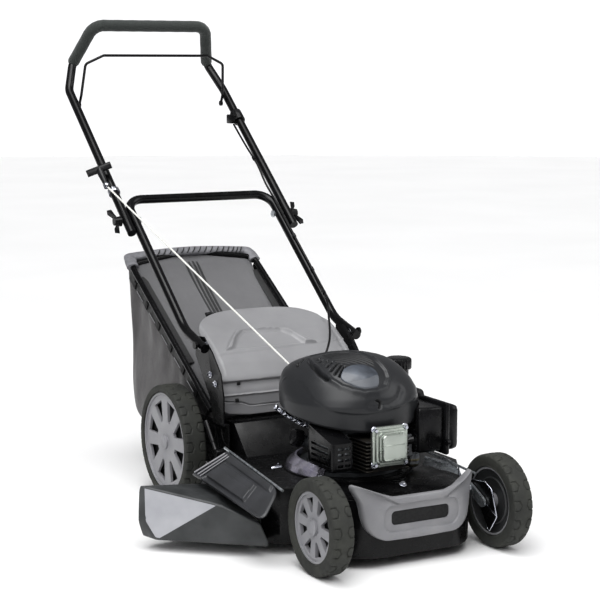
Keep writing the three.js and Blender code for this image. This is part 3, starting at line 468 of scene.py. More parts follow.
def cells(light, dark, size, height):
    """Open cells `size` mm across: dark in the middle of each Voronoi cell as painted shade in its pit, light
    on its walls.
    """
    def build(tree):
        place = add(tree, "TexCoord").outputs["Object"]
        made = add(tree, "TexVoronoi", {"Vector": place, "Scale": 1 / (size * MM)})
        mixed = add(tree, "Mix", {"Factor": made.outputs["Distance"], 6: colour(dark), 7: colour(light)},
                    data_type="RGBA")
        bump = add(tree, "Bump", {"Height": made.outputs["Distance"],
                                  "Distance": height * MM}).outputs["Normal"]
        return mixed.outputs[2], bump
    return build

# %% [markdown]
# The machine has few materials: enamelled and plated steel, cast aluminium, moulded
# plastics, rubber, foam and cloth. Each has one finish, and pieces that share a
# material share it, as they would when they come from one supplier.
# %% The machine's finishes
# Dull dark grey rubber: no clear highlight, so the tread blocks show by shade.
tyre_rubber = finish("tyre_rubber_moulded", "#343533", 0.74, mottle=("#3e3f3b", 55), wear=(0.1, 12),
                     relief=(0.08, 1.6), specular_ior_level=0.35)
# Mid grey moulded plastic with a soft, even sheen on the spokes.
wheel_nylon = finish("wheel_polypropylene_moulded", "#8c8c8f", 0.42, mottle=("#848488", 90),
                     wear=(0.07, 25), relief=(0.03, 1.2))
# Painted shade: dark plastic behind the spokes, so that the wheel's windows read as deep.
dish_painted_shade = finish("wheel_dish_polypropylene_dark", "#2c2d2e", 0.5, mottle=("#353637", 40),
                    wear=(0.08, 15), relief=(0.03, 1.2))
# Plated sheet with grey crystals that catch the light one by one.
zinc_plate = finish("steel_galvanised", "#c6cacd", 0.3, 0.85, wear=(0.08, 10), relief=(0.02, 5.0),
                    pattern=spangle("#ccd0d3", "#9a9fa4", 7))
# Deep gloss black with one long sharp highlight along each tube.
black_enamel = finish("steel_tube_black_enamel", "#09090a", 0.22, mottle=("#0f0f11", 60),
                      wear=(0.07, 18), relief=(0.02, 2.2), specular_ior_level=0.32)
# Gloss black over a pressing, a little rippled, so highlights break up.
deck_enamel = finish("steel_pressing_black_enamel", "#0b0b0c", 0.27, mottle=("#121213", 80),
                     wear=(0.1, 30), relief=(0.04, 3.0), specular_ior_level=0.28)
# Light grey cover plastic, smooth and slightly silky.
grey_nylon = finish("cover_nylon_grey", "#8b8b8d", 0.4, mottle=("#828284", 120), wear=(0.06, 25),
                    relief=(0.03, 1.3))
# Charcoal plastic with a matt grain, darker than the cowl.
chute_nylon = finish("chute_nylon_charcoal", "#303233", 0.46, mottle=("#434546", 70), wear=(0.09, 20),
                     relief=(0.04, 1.3))
# Satin charcoal plastic: a broad soft highlight rolls over the dome.
cowl_nylon = finish("cowl_nylon_satin_charcoal", "#37383a", 0.38, mottle=("#3e3f42", 90),
                    wear=(0.07, 30), relief=(0.025, 1.2))
# Black plastic with a low shine, so that edges show and faces stay dark.
black_nylon = finish("cover_nylon_black", "#0e0e0f", 0.28, specular_ior_level=0.3,
                     mottle=("#1e1e20", 60), wear=(0.1, 18), relief=(0.03, 1.3))
# Soft black foam that takes light evenly; its fine cells show close up by relief and by painted shade in
# their pits.
grip_foam = finish("grip_foam_closed_cell", "#343735", 0.85, specular_ior_level=0.3, wear=(0.06, 9),
                   sheen_weight=0.3, pattern=cells("#3f4341", "#282b2a", 2.2, 0.2))
# Open dark foam whose pores show by relief and by painted shade inside them.
filter_foam = finish("filter_foam_open_cell", "#3a3d3c", 0.9,
                     pattern=cells("#5b5f5d", "#1d1f1e", 2.6, 1.2))
# White braided cord with a faint silky sheen.
rope_nylon = finish("starter_rope_braided_nylon", "#e6e6e2", 0.6, mottle=("#c9c9c4", 3), wear=(0.08, 3),
                    relief=(0.5, 1.8), sheen_weight=0.2)
# Smooth black sheath with a thin highlight.
cable_vinyl = finish("cable_sheath_vinyl", "#0c0c0d", 0.34, specular_ior_level=0.3,
                     mottle=("#1a1a1b", 30), wear=(0.08, 10), relief=(0.04, 1.5))
# Grey cast metal with a grainy, uneven shine.
cast_aluminium = finish("aluminium_die_cast", "#9a9c9e", 0.46, 0.85, mottle=("#83868a", 18),
                        wear=(0.12, 8), relief=(0.06, 1.8))
# Painted casting: the grain of the sand shows through the grey.
sump_paint = finish("aluminium_cast_grey_paint", "#55585b", 0.42, 0.25, mottle=("#474a4d", 25),
                    wear=(0.1, 10), relief=(0.06, 2.0))
# Pale plate with a faint green cast and a clear reflection.
zinc_yellow = finish("rocker_cover_passivated_zinc", "#b4bab3", 0.3, 0.9, wear=(0.05, 26),
                     relief=(0.006, 5.0))
# Bright steel that shows as small sharp glints.
bright_steel = finish("steel_polished", "#c9cbd0", 0.2, 1.0, mottle=("#b7b9c4", 15), wear=(0.05, 8),
                      relief=(0.006, 4.0))
# Bright coated sheet with a cool, slightly violet cast.
heat_plate = finish("heat_shield_aluminised_steel", "#e9e6f2", 0.2, 0.95, mottle=("#cfcadf", 18),
                    wear=(0.05, 12), relief=(0.03, 12.0))
# Ground steel with a dull metal shine.
plain_steel = finish("steel_bare_ground", "#8e9194", 0.38, 0.95, mottle=("#7b7e81", 12), wear=(0.12, 6),
                     relief=(0.03, 1.2))
# Blackened steel: dark with a grey highlight.
dark_steel = finish("steel_blackened", "#2a2b2d", 0.44, 0.7, mottle=("#38393b", 14), wear=(0.12, 7),
                    relief=(0.04, 1.5))
# Warm grey die-cast metal.
brass_alloy = finish("carburettor_zinc_alloy", "#8e8877", 0.4, 0.85, mottle=("#78735f", 12),
                     wear=(0.1, 6), relief=(0.04, 1.8))
# Coated cloth: a fine weave with shallow soft dents.
bag_top_cloth = finish("bag_top_coated_polyester", "#6d6d6f", 0.66, wear=(0.08, 40), relief=(0.8, 26),
                       sheen_weight=0.25, pattern=weave("#767678", "#5e5e60", 2.2, 0.3))
# Coarser, darker mesh cloth with deeper dents.
bag_side_cloth = finish("bag_side_mesh_polyester", "#4c4a4b", 0.8, wear=(0.08, 40), relief=(1.0, 22),
                        sheen_weight=0.3, pattern=weave("#575556", "#353334", 2.6, 0.5))
# Flat black strap, matt, with a woven grain.
webbing = finish("webbing_black_polyester", "#1c1c1d", 0.7, relief=(0.3, 1.6), sheen_weight=0.3,
                 mottle=("#29292a", 4))
# Black clip plastic with a low shine.
bag_nylon = finish("bag_rail_nylon_black", "#151516", 0.42, specular_ior_level=0.35,
                   mottle=("#1c1c1d", 30), wear=(0.1, 12), relief=(0.03, 1.3))
# Slate panel under a clear coat, which reflects the sky softly.
plate_blue = finish("cowl_panel_painted_slate", "#34383f", 0.36, mottle=("#555b64", 40),
                    wear=(0.05, 15), relief=(0.03, 2.0), coat_weight=0.3)
# Matt near-black that paints shade into recesses so they read as holes: the door's two square marks and the
# sheet behind the bumper's slot; the bag rail clips wear it too.
matt_black_and_shade = finish("recess_matt_black_painted_shade", "#0b0b0c", 0.65, mottle=("#131314", 10), wear=(0.08, 6),
                   relief=(0.03, 1.2))
# Painted highlight: the chute plastic drawn light grey on its one facet, as if that facet caught the light.
facet_highlight = finish("chute_facet_painted_highlight", "#a9aaae", 0.4, mottle=("#9d9ea3", 60),
                    wear=(0.06, 20), relief=(0.03, 1.3))
SLOT_FINISH = {
    "rubber_tread": tyre_rubber, "wheel_plastic": wheel_nylon, "zinc_steel": zinc_plate,
    "black_steel": black_enamel, "deck_paint": deck_enamel, "grey_plastic": grey_nylon,
    "dark_plastic": chute_nylon, "black_plastic": black_nylon, "foam": grip_foam, "filter_foam": filter_foam,
    "rope": rope_nylon, "cable_sheath": cable_vinyl, "cast_alloy": cast_aluminium, "zinc_cover": zinc_yellow,
    "polished": bright_steel, "bare_steel": plain_steel, "dark_steel": dark_steel, "brassy": brass_alloy,
    "bag_cloth": bag_top_cloth, "bag_tube": black_enamel,
}
NODE_FINISH = {"engine_cowl": cowl_nylon, "crankcase": sump_paint, "heat_shield": heat_plate}
for name, made in frame["nodes"].items():
    made.data.materials.clear()
    made.data.materials.append(NODE_FINISH.get(name, SLOT_FINISH[SLOT_OF[name]]))
print("finishes:", len(bpy.data.materials))

# %% [markdown]
# ## Wheels
# A tyre here is one closed ring: a profile carried round the axle. The tread is a
# real relief. On the unrolled tread, each block is outlined by a bent groove on both
# shoulders, and the depth at a point comes from its distance to the nearest groove.
# %% Tyres with cut blocks
def groove_distance(around, across, pitch):
    """Distance in mm from unrolled points to the nearest groove; grooves repeat every `pitch` mm."""
    s, x = np.mod(around, pitch), np.abs(across)
    nearest = np.full(np.broadcast(s, x).shape, 99.0)
    corners = [(0, 30), (0, 11), (0.26 * pitch, 6.5), (0.5 * pitch, 11), (0.5 * pitch, 30)]
    for (s0, x0), (s1, x1) in zip(corners[:-1], corners[1:]):
        for shift in (-pitch, 0, pitch):
            ds, dx = s1 - s0, x1 - x0
            t = np.clip(((s - s0 - shift) * ds + (x - x0) * dx) / (ds * ds + dx * dx), 0, 1)
            nearest = np.minimum(nearest, np.hypot(s - s0 - shift - t * ds, x - x0 - t * dx))
    return nearest


def tyre(node, centre, radius, rim, width, blocks):
    """Ring of a rounded profile (radius, across), lowered by the groove depth on the tread."""
    half, shoulder = width / 2, 5.5
    bend = np.linspace(0, math.pi / 2, 6)
    tread = np.arange(-(half - shoulder), half - shoulder + 0.5, 1.0)
    across = np.r_[-half + shoulder - shoulder * np.cos(bend), tread[1:-1],
                   half - shoulder + shoulder * np.sin(bend)]
    reach = np.r_[radius - shoulder + shoulder * np.sin(bend), np.full(len(tread) - 2, radius),
                  radius - shoulder + shoulder * np.cos(bend)]
    crown = 1.2 * (across / half) ** 2
    across = np.r_[-half + 1.5, -half, -half + 0.8, -half, across, half, half - 0.8, half, half - 1.5]
    reach = np.r_[rim, rim + 2, rim + 4, rim + 6, reach - crown, rim + 6, rim + 4, rim + 2, rim]
    steps = int(2 * math.pi * radius / 1.15)
    turn = np.linspace(0, 2 * math.pi, steps, endpoint=False)[:, None]
    pitch = 2 * math.pi * radius / blocks
    away = groove_distance(turn * radius + 0 * across, across + 0 * turn, pitch)
    tread_part = np.clip((reach - radius + 7) / 4, 0, 1)
    depth = 2.3 * np.clip(1.9 - away, 0, 1) * tread_part
    spin = reach - depth
    grid = np.stack([centre[0] + across + 0 * turn, centre[1] + spin * np.cos(turn),
                     centre[2] + spin * np.sin(turn)], -1)
    return skin(node + "_treaded", grid, BODY_OF[node], "rubber_tread", tyre_rubber, wrap_rows=True,
                replaces=(node,), sharp=50)


FRONT = dict(radius=100, rim=73, width=46, blocks=15)
REAR = dict(radius=135, rim=117, width=52, blocks=19)
WHEELS = {
    "front_right": ((-215, 0, 100), FRONT), "front_left": ((215, 0, 100), FRONT),
    "rear_right": ((-221, 700, 135), REAR), "rear_left": ((221, 700, 135), REAR),
}
for corner_name, (centre, size) in WHEELS.items():
    made = tyre("tyre_" + corner_name, centre, **size)
    print(made.name, len(made.data.polygons), "faces")

# %% [markdown]
# The disc keeps the frame's shape, with its window edges rounded as a mould leaves
# them. A dish with two ring ridges closes the wheel behind the windows, coloured dark
# as painted shade so the windows read as deep, and a plain cap covers the axle's end.
# %% Discs, dishes and hub caps
for corner_name, (centre, size) in WHEELS.items():
    outward = -1 if centre[0] < 0 else 1
    w, rim = size["width"] / 2 - 4, size["rim"]
    refined("wheel_" + corner_name, wheel_nylon, bevel=1.1)
    dish = [(18, w - 17), (24, w - 19.5), (rim * 0.5, w - 20), (rim * 0.56, w - 22), (rim * 0.62, w - 20),
            (rim * 0.8, w - 19.5), (rim * 0.85, w - 21.5), (rim * 0.9, w - 19), (rim - 5.2, w - 15)]
    back = [(r, x - 2.2) for r, x in dish[::-1]]
    dish_grid = turned(dish + back, centre, (outward, 0, 0), 72, (0, 1, 0)).transpose(1, 0, 2)
    skin("dish_" + corner_name, dish_grid, corner_name + "_wheel", "black_plastic", dish_painted_shade,
         wrap_rows=True, sharp=40)
    cap = [(0.01, w + 3.4), (9, w + 3.3), (13.5, w + 2.8), (15.4, w + 1.2), (15.8, w - 2), (0.01, w - 2)]
    skin("hub_cap_" + corner_name, turned(cap, centre, (outward, 0, 0), 40, (0, 1, 0)),
         corner_name + "_wheel", "wheel_plastic", wheel_nylon, sharp=40)
print("wheels:", len(WHEELS))

# %% [markdown]
# ## Handles
# The handles are bent steel tube under black enamel. Each is a circle swept along
# straight runs joined by arcs of the bender's own radius, mirrored about the middle.
# %% Handle tubes
def mirrored(half_path):
    """A path that ends on the middle plane, with its mirror image after it."""
    half_path = np.asarray(half_path, float)
    return np.vstack([half_path, (half_path * (-1, 1, 1))[-2::-1]])


def tube(name, path, radius, body, slot, material, sides=24, step=9.0, **more):
    """A round bar along a path, with stations about `step` mm apart on its straights."""
    path = np.asarray(path, float)
    long_runs = [np.linspace(a, b, max(2, int(np.linalg.norm(b - a) / step)), endpoint=False)
                 for a, b in zip(path[:-1], path[1:])]
    path = np.concatenate([*long_runs, path[-1:]])
    gap = np.r_[True, np.linalg.norm(np.diff(path, axis=0), axis=1) > 1e-6]
    return skin(name, swept(path[gap], circle(radius, sides)), body, slot, material, sharp=50, **more)


LOWER = mirrored([(-200.4, 562, 374), (-200.4, 668, 402.1), (-200.4, 1015, 681.1), (0, 1019, 691)])
lower_path = rounded_path(LOWER[[0, 1, 2, 4, 5, 6]], [120, 42, 42, 120], 10)
tube("lower_handle_tube", lower_path, 11, "mower", "black_steel", black_enamel, replaces=("lower_handle",))
UPPER = mirrored([(-224.4, 920, 607.35), (-224.4, 1330, 947.65), (-214, 1378, 985), (-196, 1375, 1017),
                  (-161, 1307, 1116), (0, 1307, 1116)])
upper_path = rounded_path(UPPER[[0, 1, 3, 4, 6, 7, 9, 10]], [55, 26, 34, 34, 26, 55], 10)
tube("upper_handle_tube", upper_path, 11, "upper_handle", "black_steel", black_enamel,
     replaces=("upper_handle",))
print("handle tubes:", len(lower_path), len(upper_path), "stations")

# %% [markdown]
# The grip is a foam sleeve pushed over the tube. Foam of this kind keeps a slightly
# uneven skin, so its radius wavers by a few tenths of a millimetre.
# %% Foam grip
GRIP = mirrored([(-196, 1375, 1017), (-161, 1307, 1116), (0, 1307, 1116)])
grip_path = rounded_path(GRIP[[0, 1, 3, 4]], 38, 14)
grip_runs = [np.linspace(a, b, max(2, int(np.linalg.norm(b - a) / 6)), endpoint=False)
             for a, b in zip(grip_path[:-1], grip_path[1:])]
grip_path = np.concatenate([*grip_runs, grip_path[-1:]])
end_ease = np.minimum(np.arange(len(grip_path)), np.arange(len(grip_path))[::-1])
waver = 1 + 0.012 * np.sin(np.arange(len(grip_path)) * 0.9) - 0.16 * np.clip(1 - end_ease / 1.0, 0, 1)
grip = skin("foam_grip_sleeve", swept(grip_path, circle(15.3, 28), scale=waver), "upper_handle", "foam",
            grip_foam, replaces=("foam_grip",), sharp=55)
print("grip:", len(grip_path), "stations")

# %% [markdown]
# The brake bail is a thin sprung rod, and the two long lines are the starter rope,
# held taut from the cowl to its eye, and the brake cable, clipped down the left leg.
# %% Brake bail
BAIL = mirrored([(-206, 1305, 910), (-205, 1292, 935), (-198, 1276, 1016), (-150, 1270, 1038),
                 (0, 1270, 1042)])
bail_path = rounded_path(BAIL[[0, 1, 2, 3, 5, 6, 7, 8]], 13, 6)
bail_rod = tube("brake_bail_rod", bail_path, 3.5, "bail", "black_steel", black_enamel, sides=14)
bail_eyes = [swept([(x0, 1305, 910), (x0 + 3, 1305, 910), (x0 + 6, 1305, 910)], circle(7, 20))
             for x0 in (-209, 203)]
joined("brake_bail_eyes", bail_eyes, "bail", "black_steel", black_enamel, sharp=40)
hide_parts("brake_bail")

# %% [markdown]
# ## Engine cowl
# The cowl is one moulding: a skirt that rises into a flattened dome. Over that base
# run an S-shaped crease, a raised tongue with a slate panel, a scoop, cooling slots
# and ribs. Each of these is a height over the base, worked out from a point's
# distance to a line or from whether it lies in an outline, so edges stay crisp
# where the grid is fine.
# %% Distances and outlines
def line_distance(points, line):
    """Distance from each point to a broken line: the least over its stretches, each clamped to its ends."""
    points, line = np.asarray(points, float), np.asarray(line, float)
    best = np.full(points.shape[:-1], 1e9)
    for a, b in zip(line[:-1], line[1:]):
        t = np.clip(((points - a) @ (b - a)) / ((b - a) @ (b - a)), 0, 1)
        best = np.minimum(best, np.linalg.norm(points - a - t[..., None] * (b - a), axis=-1))
    return best


def inside(points, outline):
    """True where a flat point lies in a closed outline: a ray to the right crosses it an odd time."""
    points, outline = np.asarray(points, float), np.asarray(outline, float)
    x, y = points[..., 0], points[..., 1]
    crossed = np.zeros(x.shape, bool)
    for (x0, y0), (x1, y1) in zip(outline, np.roll(outline, -1, 0)):
        if y0 != y1:
            crossed ^= ((y0 > y) != (y1 > y)) & (x < x0 + (y - y0) * (x1 - x0) / (y1 - y0))
    return crossed


def rise(value, start, end):
    """0 below start, 1 above end, and t * t * (3 - 2t) between them."""
    t = np.clip((np.asarray(value, float) - start) / (end - start), 0, 1)
    return t * t * (3 - 2 * t)


def depth_in(points, outline, width):
    """0 outside an outline and 1 further inside it than `width` mm, with a smooth edge between."""
    ring = np.vstack([outline, outline[:1]])
    return np.where(inside(points, outline), rise(line_distance(points, ring), 0, width), 0)


def paint(made, values, name):
    """Stores one number a point, such as where a slot is, for the material to read."""
    mark = made.data.attributes.new(name, "FLOAT", "POINT")
    mark.data.foreach_set("value", np.ravel(values).astype(np.float32))

# %% [markdown]
# The cowl is a dome over a skirt. Its outline is fuller on one side, so two profiles
# are mixed by angle. The outlines below are in millimetres in plan from the
# crankshaft, which is where the recoil starter sits.
# %% The cowl's heights
AXIS = np.array([0.0, 258.0, 0.0])
COWL_PROFILE = [(151, 300), (150, 306), (144, 322), (129, 345), (106, 368), (76, 385), (40, 394), (0.02, 396)]
CREASE = [(-146, 60, 330), (-136, 36, 345), (-121, 16, 352), (-126, -24, 345), (-127, -53, 331),
          (-125, -75, 315), (-114, -96, 304), (-96, -118, 296), (-69, -135, 293), (-39, -147, 292),
          (2, -152, 296), (35, -148, 299), (80, -128, 305), (120, -90, 312)]
TONGUE = [(-77, 44), (-91, -3), (-94, -50), (-88, -82), (-77, -104), (-60, -120), (-37, -133), (-8, -137),
          (14, -132), (30, -117), (34, -101), (32, -80), (29, -54), (26, -20), (22, 20), (16, 60), (-60, 70)]
SCOOP = [(-80, 33), (-88, -9), (-89, -49), (-85, -77), (-92, -84), (-101, -73), (-106, -50),
         (-105, -20), (-94, 20)]
SCOOP_MOUTH = [(-90, 20), (-97, -12), (-98, -50), (-92, -76), (-97, -76), (-103, -50), (-103, -20), (-95, 16)]
PANEL = [(-56, -75), (-34, -75), (-13, -81), (4, -95), (8, -108), (3, -122), (-4, -129), (-20, -130),
         (-43, -123), (-60, -109), (-71, -90)]
SLOTS = [((-66, 14), (-74, 6)), ((-69, -6), (-79, -12)), ((-66, -22), (-80, -27)), ((-62, -36), (-80, -43)),
         ((-57, -49), (-79, -60)), ((-53, -60), (-76, -73)), ((-51, -69), (-70, -84))]
RIBS = [(-58, -50), (-40, -64), (-17, -76), (14, -92), (24, -70), (20, -37), (8, 0), (-10, 30),
        (-50, 36), (-58, 0)]
VENTS = [[(-102, 33), (-80, 50)], [(-112, 26), (-106, 40)]]
CRESCENT = [(-30, -143, 306), (10, -148, 307), (25, -146, 311), (41, -141, 318), (54, -128, 330)]
NOTCH = [(-16, -145, 317), (-9, -146, 313), (-11, -150, 301)]
turn = np.linspace(0, 2 * math.pi, 360, endpoint=False)
dome = smooth_line(COWL_PROFILE, 110)
FULL_PROFILE = [(151, 300), (152, 316), (150, 336), (143, 356), (124, 371), (92, 383), (44, 393), (0.02, 396)]
full_dome = smooth_line(FULL_PROFILE, 110)
fullness = np.exp(-((turn - math.radians(140)) / math.radians(38)) ** 2)
skirt_rows = 24
skirt_bottom = np.interp(258 + 149 * np.sin(turn), [90, 150, 205, 430], [243, 257, 268, 302])
drop = np.linspace(0, 1, skirt_rows, endpoint=False)[:, None]
skirt_z = skirt_bottom * (1 - drop) + 300 * drop
skirt_r = 151 - 3.0 * ((300 - skirt_z) / 57) ** 2
reach = np.vstack([skirt_r, dome[:, :1] + fullness * (full_dome - dome)[:, :1]])
level = np.vstack([skirt_z, dome[:, 1:] + fullness * (full_dome - dome)[:, 1:]])
base = np.stack([reach * np.cos(turn), reach * np.sin(turn), level], -1)
plan = base[..., :2]
print("cowl grid:", base.shape)

# %% [markdown]
# Every crease, slot and rib is a change of height on that one grid, as a mould maker
# cuts them into one cavity. Boolean cuts would leave ragged edges on a curved skin,
# so heights are added up first and the whole surface is moved once.
# %% The cowl
tongue = depth_in(plan, TONGUE, 5)
tongue_edge = line_distance(plan, TONGUE[:13])
crease = line_distance(base, CREASE)
crease_level = np.interp(np.arctan2(base[..., 1], base[..., 0]),
                         *np.array(sorted((math.atan2(y, x), z) for x, y, z in CREASE)).T)
slot_mark = np.max([rise(-line_distance(plan, s), -3.4, -2.2) for s in SLOTS], axis=0)
slot_mark = np.maximum(slot_mark, np.max([rise(-line_distance(plan, s), -3.2, -2.0) for s in VENTS], axis=0))
notch_mark = rise(-line_distance(base, NOTCH), -3.4, -2.2)
mouth = depth_in(plan, SCOOP_MOUTH, 2)
rib_area = depth_in(plan, RIBS, 4)
front = rise(-np.sin(turn), -0.1, 0.35) * np.ones_like(level)
height = 2.6 * np.exp(-(tongue_edge / 4.2) ** 2) - 3.0 * tongue
height += 1.5 * np.exp(-(crease / 2.6) ** 2) + 1.6 * front * rise(level, crease_level - 2, crease_level + 5)
height -= 8.5 * depth_in(plan, SCOOP, 9) + 6 * mouth
height += 1.6 * depth_in(plan, PANEL, 2.2) - 7 * slot_mark - 6 * notch_mark
height += 1.3 * rib_area * np.cos(2 * math.pi * (plan[..., 0] * 0.8 + plan[..., 1] * 0.55) / 9.0)
height -= 3.4 * np.exp(-(line_distance(base, CRESCENT) / 7.5) ** 2)
height -= 2.2 * rise(-level, -(skirt_bottom + 3.5), -(skirt_bottom + 2.0))
slope = np.gradient(dome, axis=0)
slope /= np.linalg.norm(slope, axis=1)[:, None]
out_r = np.r_[np.ones(skirt_rows), slope[:, 1]][:, None]
out_z = np.r_[np.zeros(skirt_rows), -slope[:, 0]][:, None]
lift = np.stack([out_r * np.cos(turn), out_r * np.sin(turn), out_z * np.ones_like(turn)], -1)
grid = AXIS + base + lift * height[..., None]
grid[-1] = grid[-1].mean(0)


def marked(name, plain, code, mark, rough, marked_rough, **more):
    """A finish that changes colour where an attribute of the piece is 1."""
    def build(tree):
        level = add(tree, "Attribute", attribute_name=mark).outputs["Fac"]
        mixed = add(tree, "Mix", {"Factor": level, 6: colour(plain), 7: colour(code)}, data_type="RGBA")
        return mixed.outputs[2], None
    made = finish(name, plain, rough, pattern=build, **more)
    tree = made.node_tree
    level = add(tree, "Attribute", attribute_name=mark).outputs["Fac"]
    spread = add(tree, "MapRange", {"Value": level, "To Min": rough, "To Max": marked_rough})
    tree.links.new(spread.outputs["Result"], tree.nodes["Principled BSDF"].inputs["Roughness"])
    return made


# The cowl's satin charcoal with painted shade: near-black where the slots attribute is 1, in its slots, notch
# and scoop mouth.
cowl_with_slot_shade = marked("cowl_nylon_satin_with_painted_slot_shade", "#2c2d2f", "#050506", "slots", 0.34, 0.7,
                     specular_ior_level=0.4, relief=(0.025, 1.2))
cowl = skin("engine_cowl_moulding", grid, "mower", "dark_plastic", cowl_with_slot_shade, ends=False, closed=False,
            replaces=("engine_cowl",))
# The painted shade is full in the slots, the notch and the scoop's mouth, and 0.45 over the ribbed area.
paint(cowl, np.clip(slot_mark + notch_mark + mouth + 0.45 * rib_area, 0, 1), "slots")
fix_normals(cowl.data)
finished(cowl, thickness=2.6, even=False)
print("cowl:", len(cowl.data.polygons), "faces")

# %% [markdown]
# The slate panel on the tongue is a thin plate that follows the dome. It is a
# triangle fan in plan, grown from the outline towards its middle, and lifted
# onto the dome's own height so that it lies flush.
# %% Slate panel on the tongue
def dome_height(plan_points):
    """Height of the plain dome over a plan point, read from the profile by radius."""
    r = np.linalg.norm(plan_points, axis=-1)
    return np.interp(r, dome[::-1, 0], dome[::-1, 1])


def patch(name, outline, lift, body, slot, material, rings=14, around=160, **more):
    """Plate over the dome: rows shrink a smooth closed outline to its middle, raised by lift + an edge."""
    loop = smooth_line(np.vstack([outline, outline[:1]]), around + 1)[:-1]
    middle = loop.mean(0)
    share = np.r_[1.0, 1.0, 0.985, np.linspace(0.95, 0.002, rings)][:, None, None]
    up = np.r_[-3.0, 0.0, 0.55, np.full(rings, 0.8)][:, None]
    flat = middle + (loop - middle) * share
    z = dome_height(flat) + lift + up
    return skin(name, np.dstack([flat, z]) + AXIS, body, slot, material, closed=True, **more)


patch("cowl_slate_panel", PANEL, 0.2, "mower", "dark_plastic", plate_blue, sharp=40)
lower_panel = [(-62, -107), (-40, -113), (-16, -115), (5, -112), (3, -122), (-4, -129), (-20, -130),
               (-43, -123)]
patch("cowl_slate_panel_light", lower_panel, 0.9, "mower", "dark_plastic",
      finish("cowl_panel_painted_grey", "#55585d", 0.36, mottle=("#5d6065", 30), relief=(0.03, 2.0)),
      sharp=40)

# %% [markdown]
# ## Rear door
# The door is one sheet of moulded nylon, bent to a profile and then embossed: an arch
# stands out of it, and its foot is stepped into ledges that shed grass. The sheet is
# a grid over the arc length of its profile and its width, moved along its own
# normal by the embossing, and given a wall.
# %% Door surface
DOOR_PROFILE = np.array([(532, 218), (532, 300), (560, 338), (630, 382), (726, 427)], float)
DOOR_LENGTHS = np.r_[0, np.cumsum(np.linalg.norm(np.diff(DOOR_PROFILE, axis=0), axis=1))] + 6
ARCH_OUTER = np.array([(-143, 163), (-120, 196), (-89, 232), (-55, 237), (-6, 235), (51, 227),
                       (70, 200), (112, 165)])
ARCH_INNER = np.array([(-117, 168), (-90, 208), (-65, 228), (31, 222), (52, 204), (72, 168)])
u = np.linspace(-1, 1, 150)
v = np.linspace(0, 1, 190)[:, None]
x = 177 * u + 0 * v
top = 200 + 122 * (1 - np.abs(u) ** 3.2) ** 0.42
s = 6 + (top - 6) * v
y = np.interp(s, DOOR_LENGTHS, DOOR_PROFILE[:, 0])
z = np.interp(s, DOOR_LENGTHS, DOOR_PROFILE[:, 1])
smooth = 9
ys = np.mean([np.interp(s + d, DOOR_LENGTHS, DOOR_PROFILE[:, 0])
              for d in np.linspace(-smooth, smooth, 9)], axis=0)
zs = np.mean([np.interp(s + d, DOOR_LENGTHS, DOOR_PROFILE[:, 1])
              for d in np.linspace(-smooth, smooth, 9)], axis=0)
soft = rise(s, 20, 40) * rise(-s, -300, -280)
y, z = y + (ys - y) * soft, z + (zs - z) * soft
flat = np.stack([x, s + 0 * x], -1)
arch_band = depth_in(flat, np.vstack([ARCH_OUTER, ARCH_INNER[::-1]]), 7)
arch_inside = depth_in(flat, ARCH_INNER, 4)
boundary = np.interp(x, [-150, 140], [156, 170])
third = np.interp(x, [-183, -124, -105, -17], [41, 34, 26, 25])
lip = np.interp(x, [-183, -160, -105, -21], [28, 14, 8, 8])
emboss = 2.5 * rise(s, boundary - 3, boundary + 3) * (1 - arch_inside) + 6.5 * arch_band
emboss += 5.5 * rise(s, 84, 87)
emboss += np.where(s < 87, 6.5 * rise(-s, -84, -58) * rise(s, third + 2, third + 5), 0)
emboss += 3.0 * np.exp(-((s - 56) / 1.8) ** 2) + 2.6 * np.exp(-((s - third - 2) / 1.8) ** 2)
emboss += 6.0 * rise(-s, -third - 3, -third) * rise(s, lip - 8, lip - 2) - 4 * rise(-s, -lip, -lip + 4)
emboss -= 3.2 * rise(-np.abs(np.abs(x) - 165), -6, -3) * rise(s, 90, 110) * 0.5
tangent = np.gradient(np.stack([y, z], -1), axis=0)
tangent /= np.linalg.norm(tangent, axis=-1)[..., None]
grid = np.stack([x, y - emboss * tangent[..., 1], z + emboss * tangent[..., 0]], -1)
door = skin("rear_door_moulding", grid, "rear_door", "grey_plastic", grey_nylon, wrap_columns=False,
            ends=False, closed=False, replaces=("rear_door",), sharp=60)
if door.data.polygons[0].normal.y > 0:
    door.data.flip_normals()
finished(door, thickness=3.2, even=False)
# Two small square marks on the door, in the matt black that paints shade into recesses.
marks = [soft_box_grid((-138, 523, 290), (-130, 527, 298), 1.0),
         soft_box_grid((-143, 521, 252), (-135, 525, 260), 1.0)]
joined("door_square_plugs", marks, "rear_door", "black_plastic", matt_black_and_shade, sharp=40)
print("door:", len(door.data.polygons), "faces")

# %% [markdown]
# ## Grass bag
# The bag is cloth hung from a tubular rim. It is lofted from its mouth to its rear:
# each row is a rounded section between a point on the top line and one on the
# bottom line. Cloth between two fixed edges sags, and slack cloth folds, so the
# top dips in the middle and the sides carry soft vertical folds.
# %% Bag body
BAG_TOP = [(590, 236), (640, 258), (760, 330), (900, 418), (1050, 514), (1082, 533)]
BAG_FOOT = [(590, 84), (700, 88), (850, 96), (1000, 104), (1050, 112), (1078, 136), (1088, 190), (1082, 250),
            (1076, 320), (1078, 420), (1083, 500)]
rows, around = 170, 220
top_line, foot_line = smooth_line(BAG_TOP, rows), smooth_line(BAG_FOOT, rows)
a = np.linspace(0, 2 * math.pi, around, endpoint=False)
square = 0.24
across = np.sign(np.cos(a)) * np.abs(np.cos(a)) ** square
along = 0.5 + 0.5 * np.sign(np.sin(a)) * np.abs(np.sin(a)) ** square
t = np.linspace(0, 1, rows)[:, None]
half_width = 163 + 6 * rise(t, 0.05, 0.35)
section = foot_line[:, None] + along[None, :, None] * (top_line - foot_line)[:, None]
bx, by, bz = half_width * across, section[..., 0], section[..., 1]
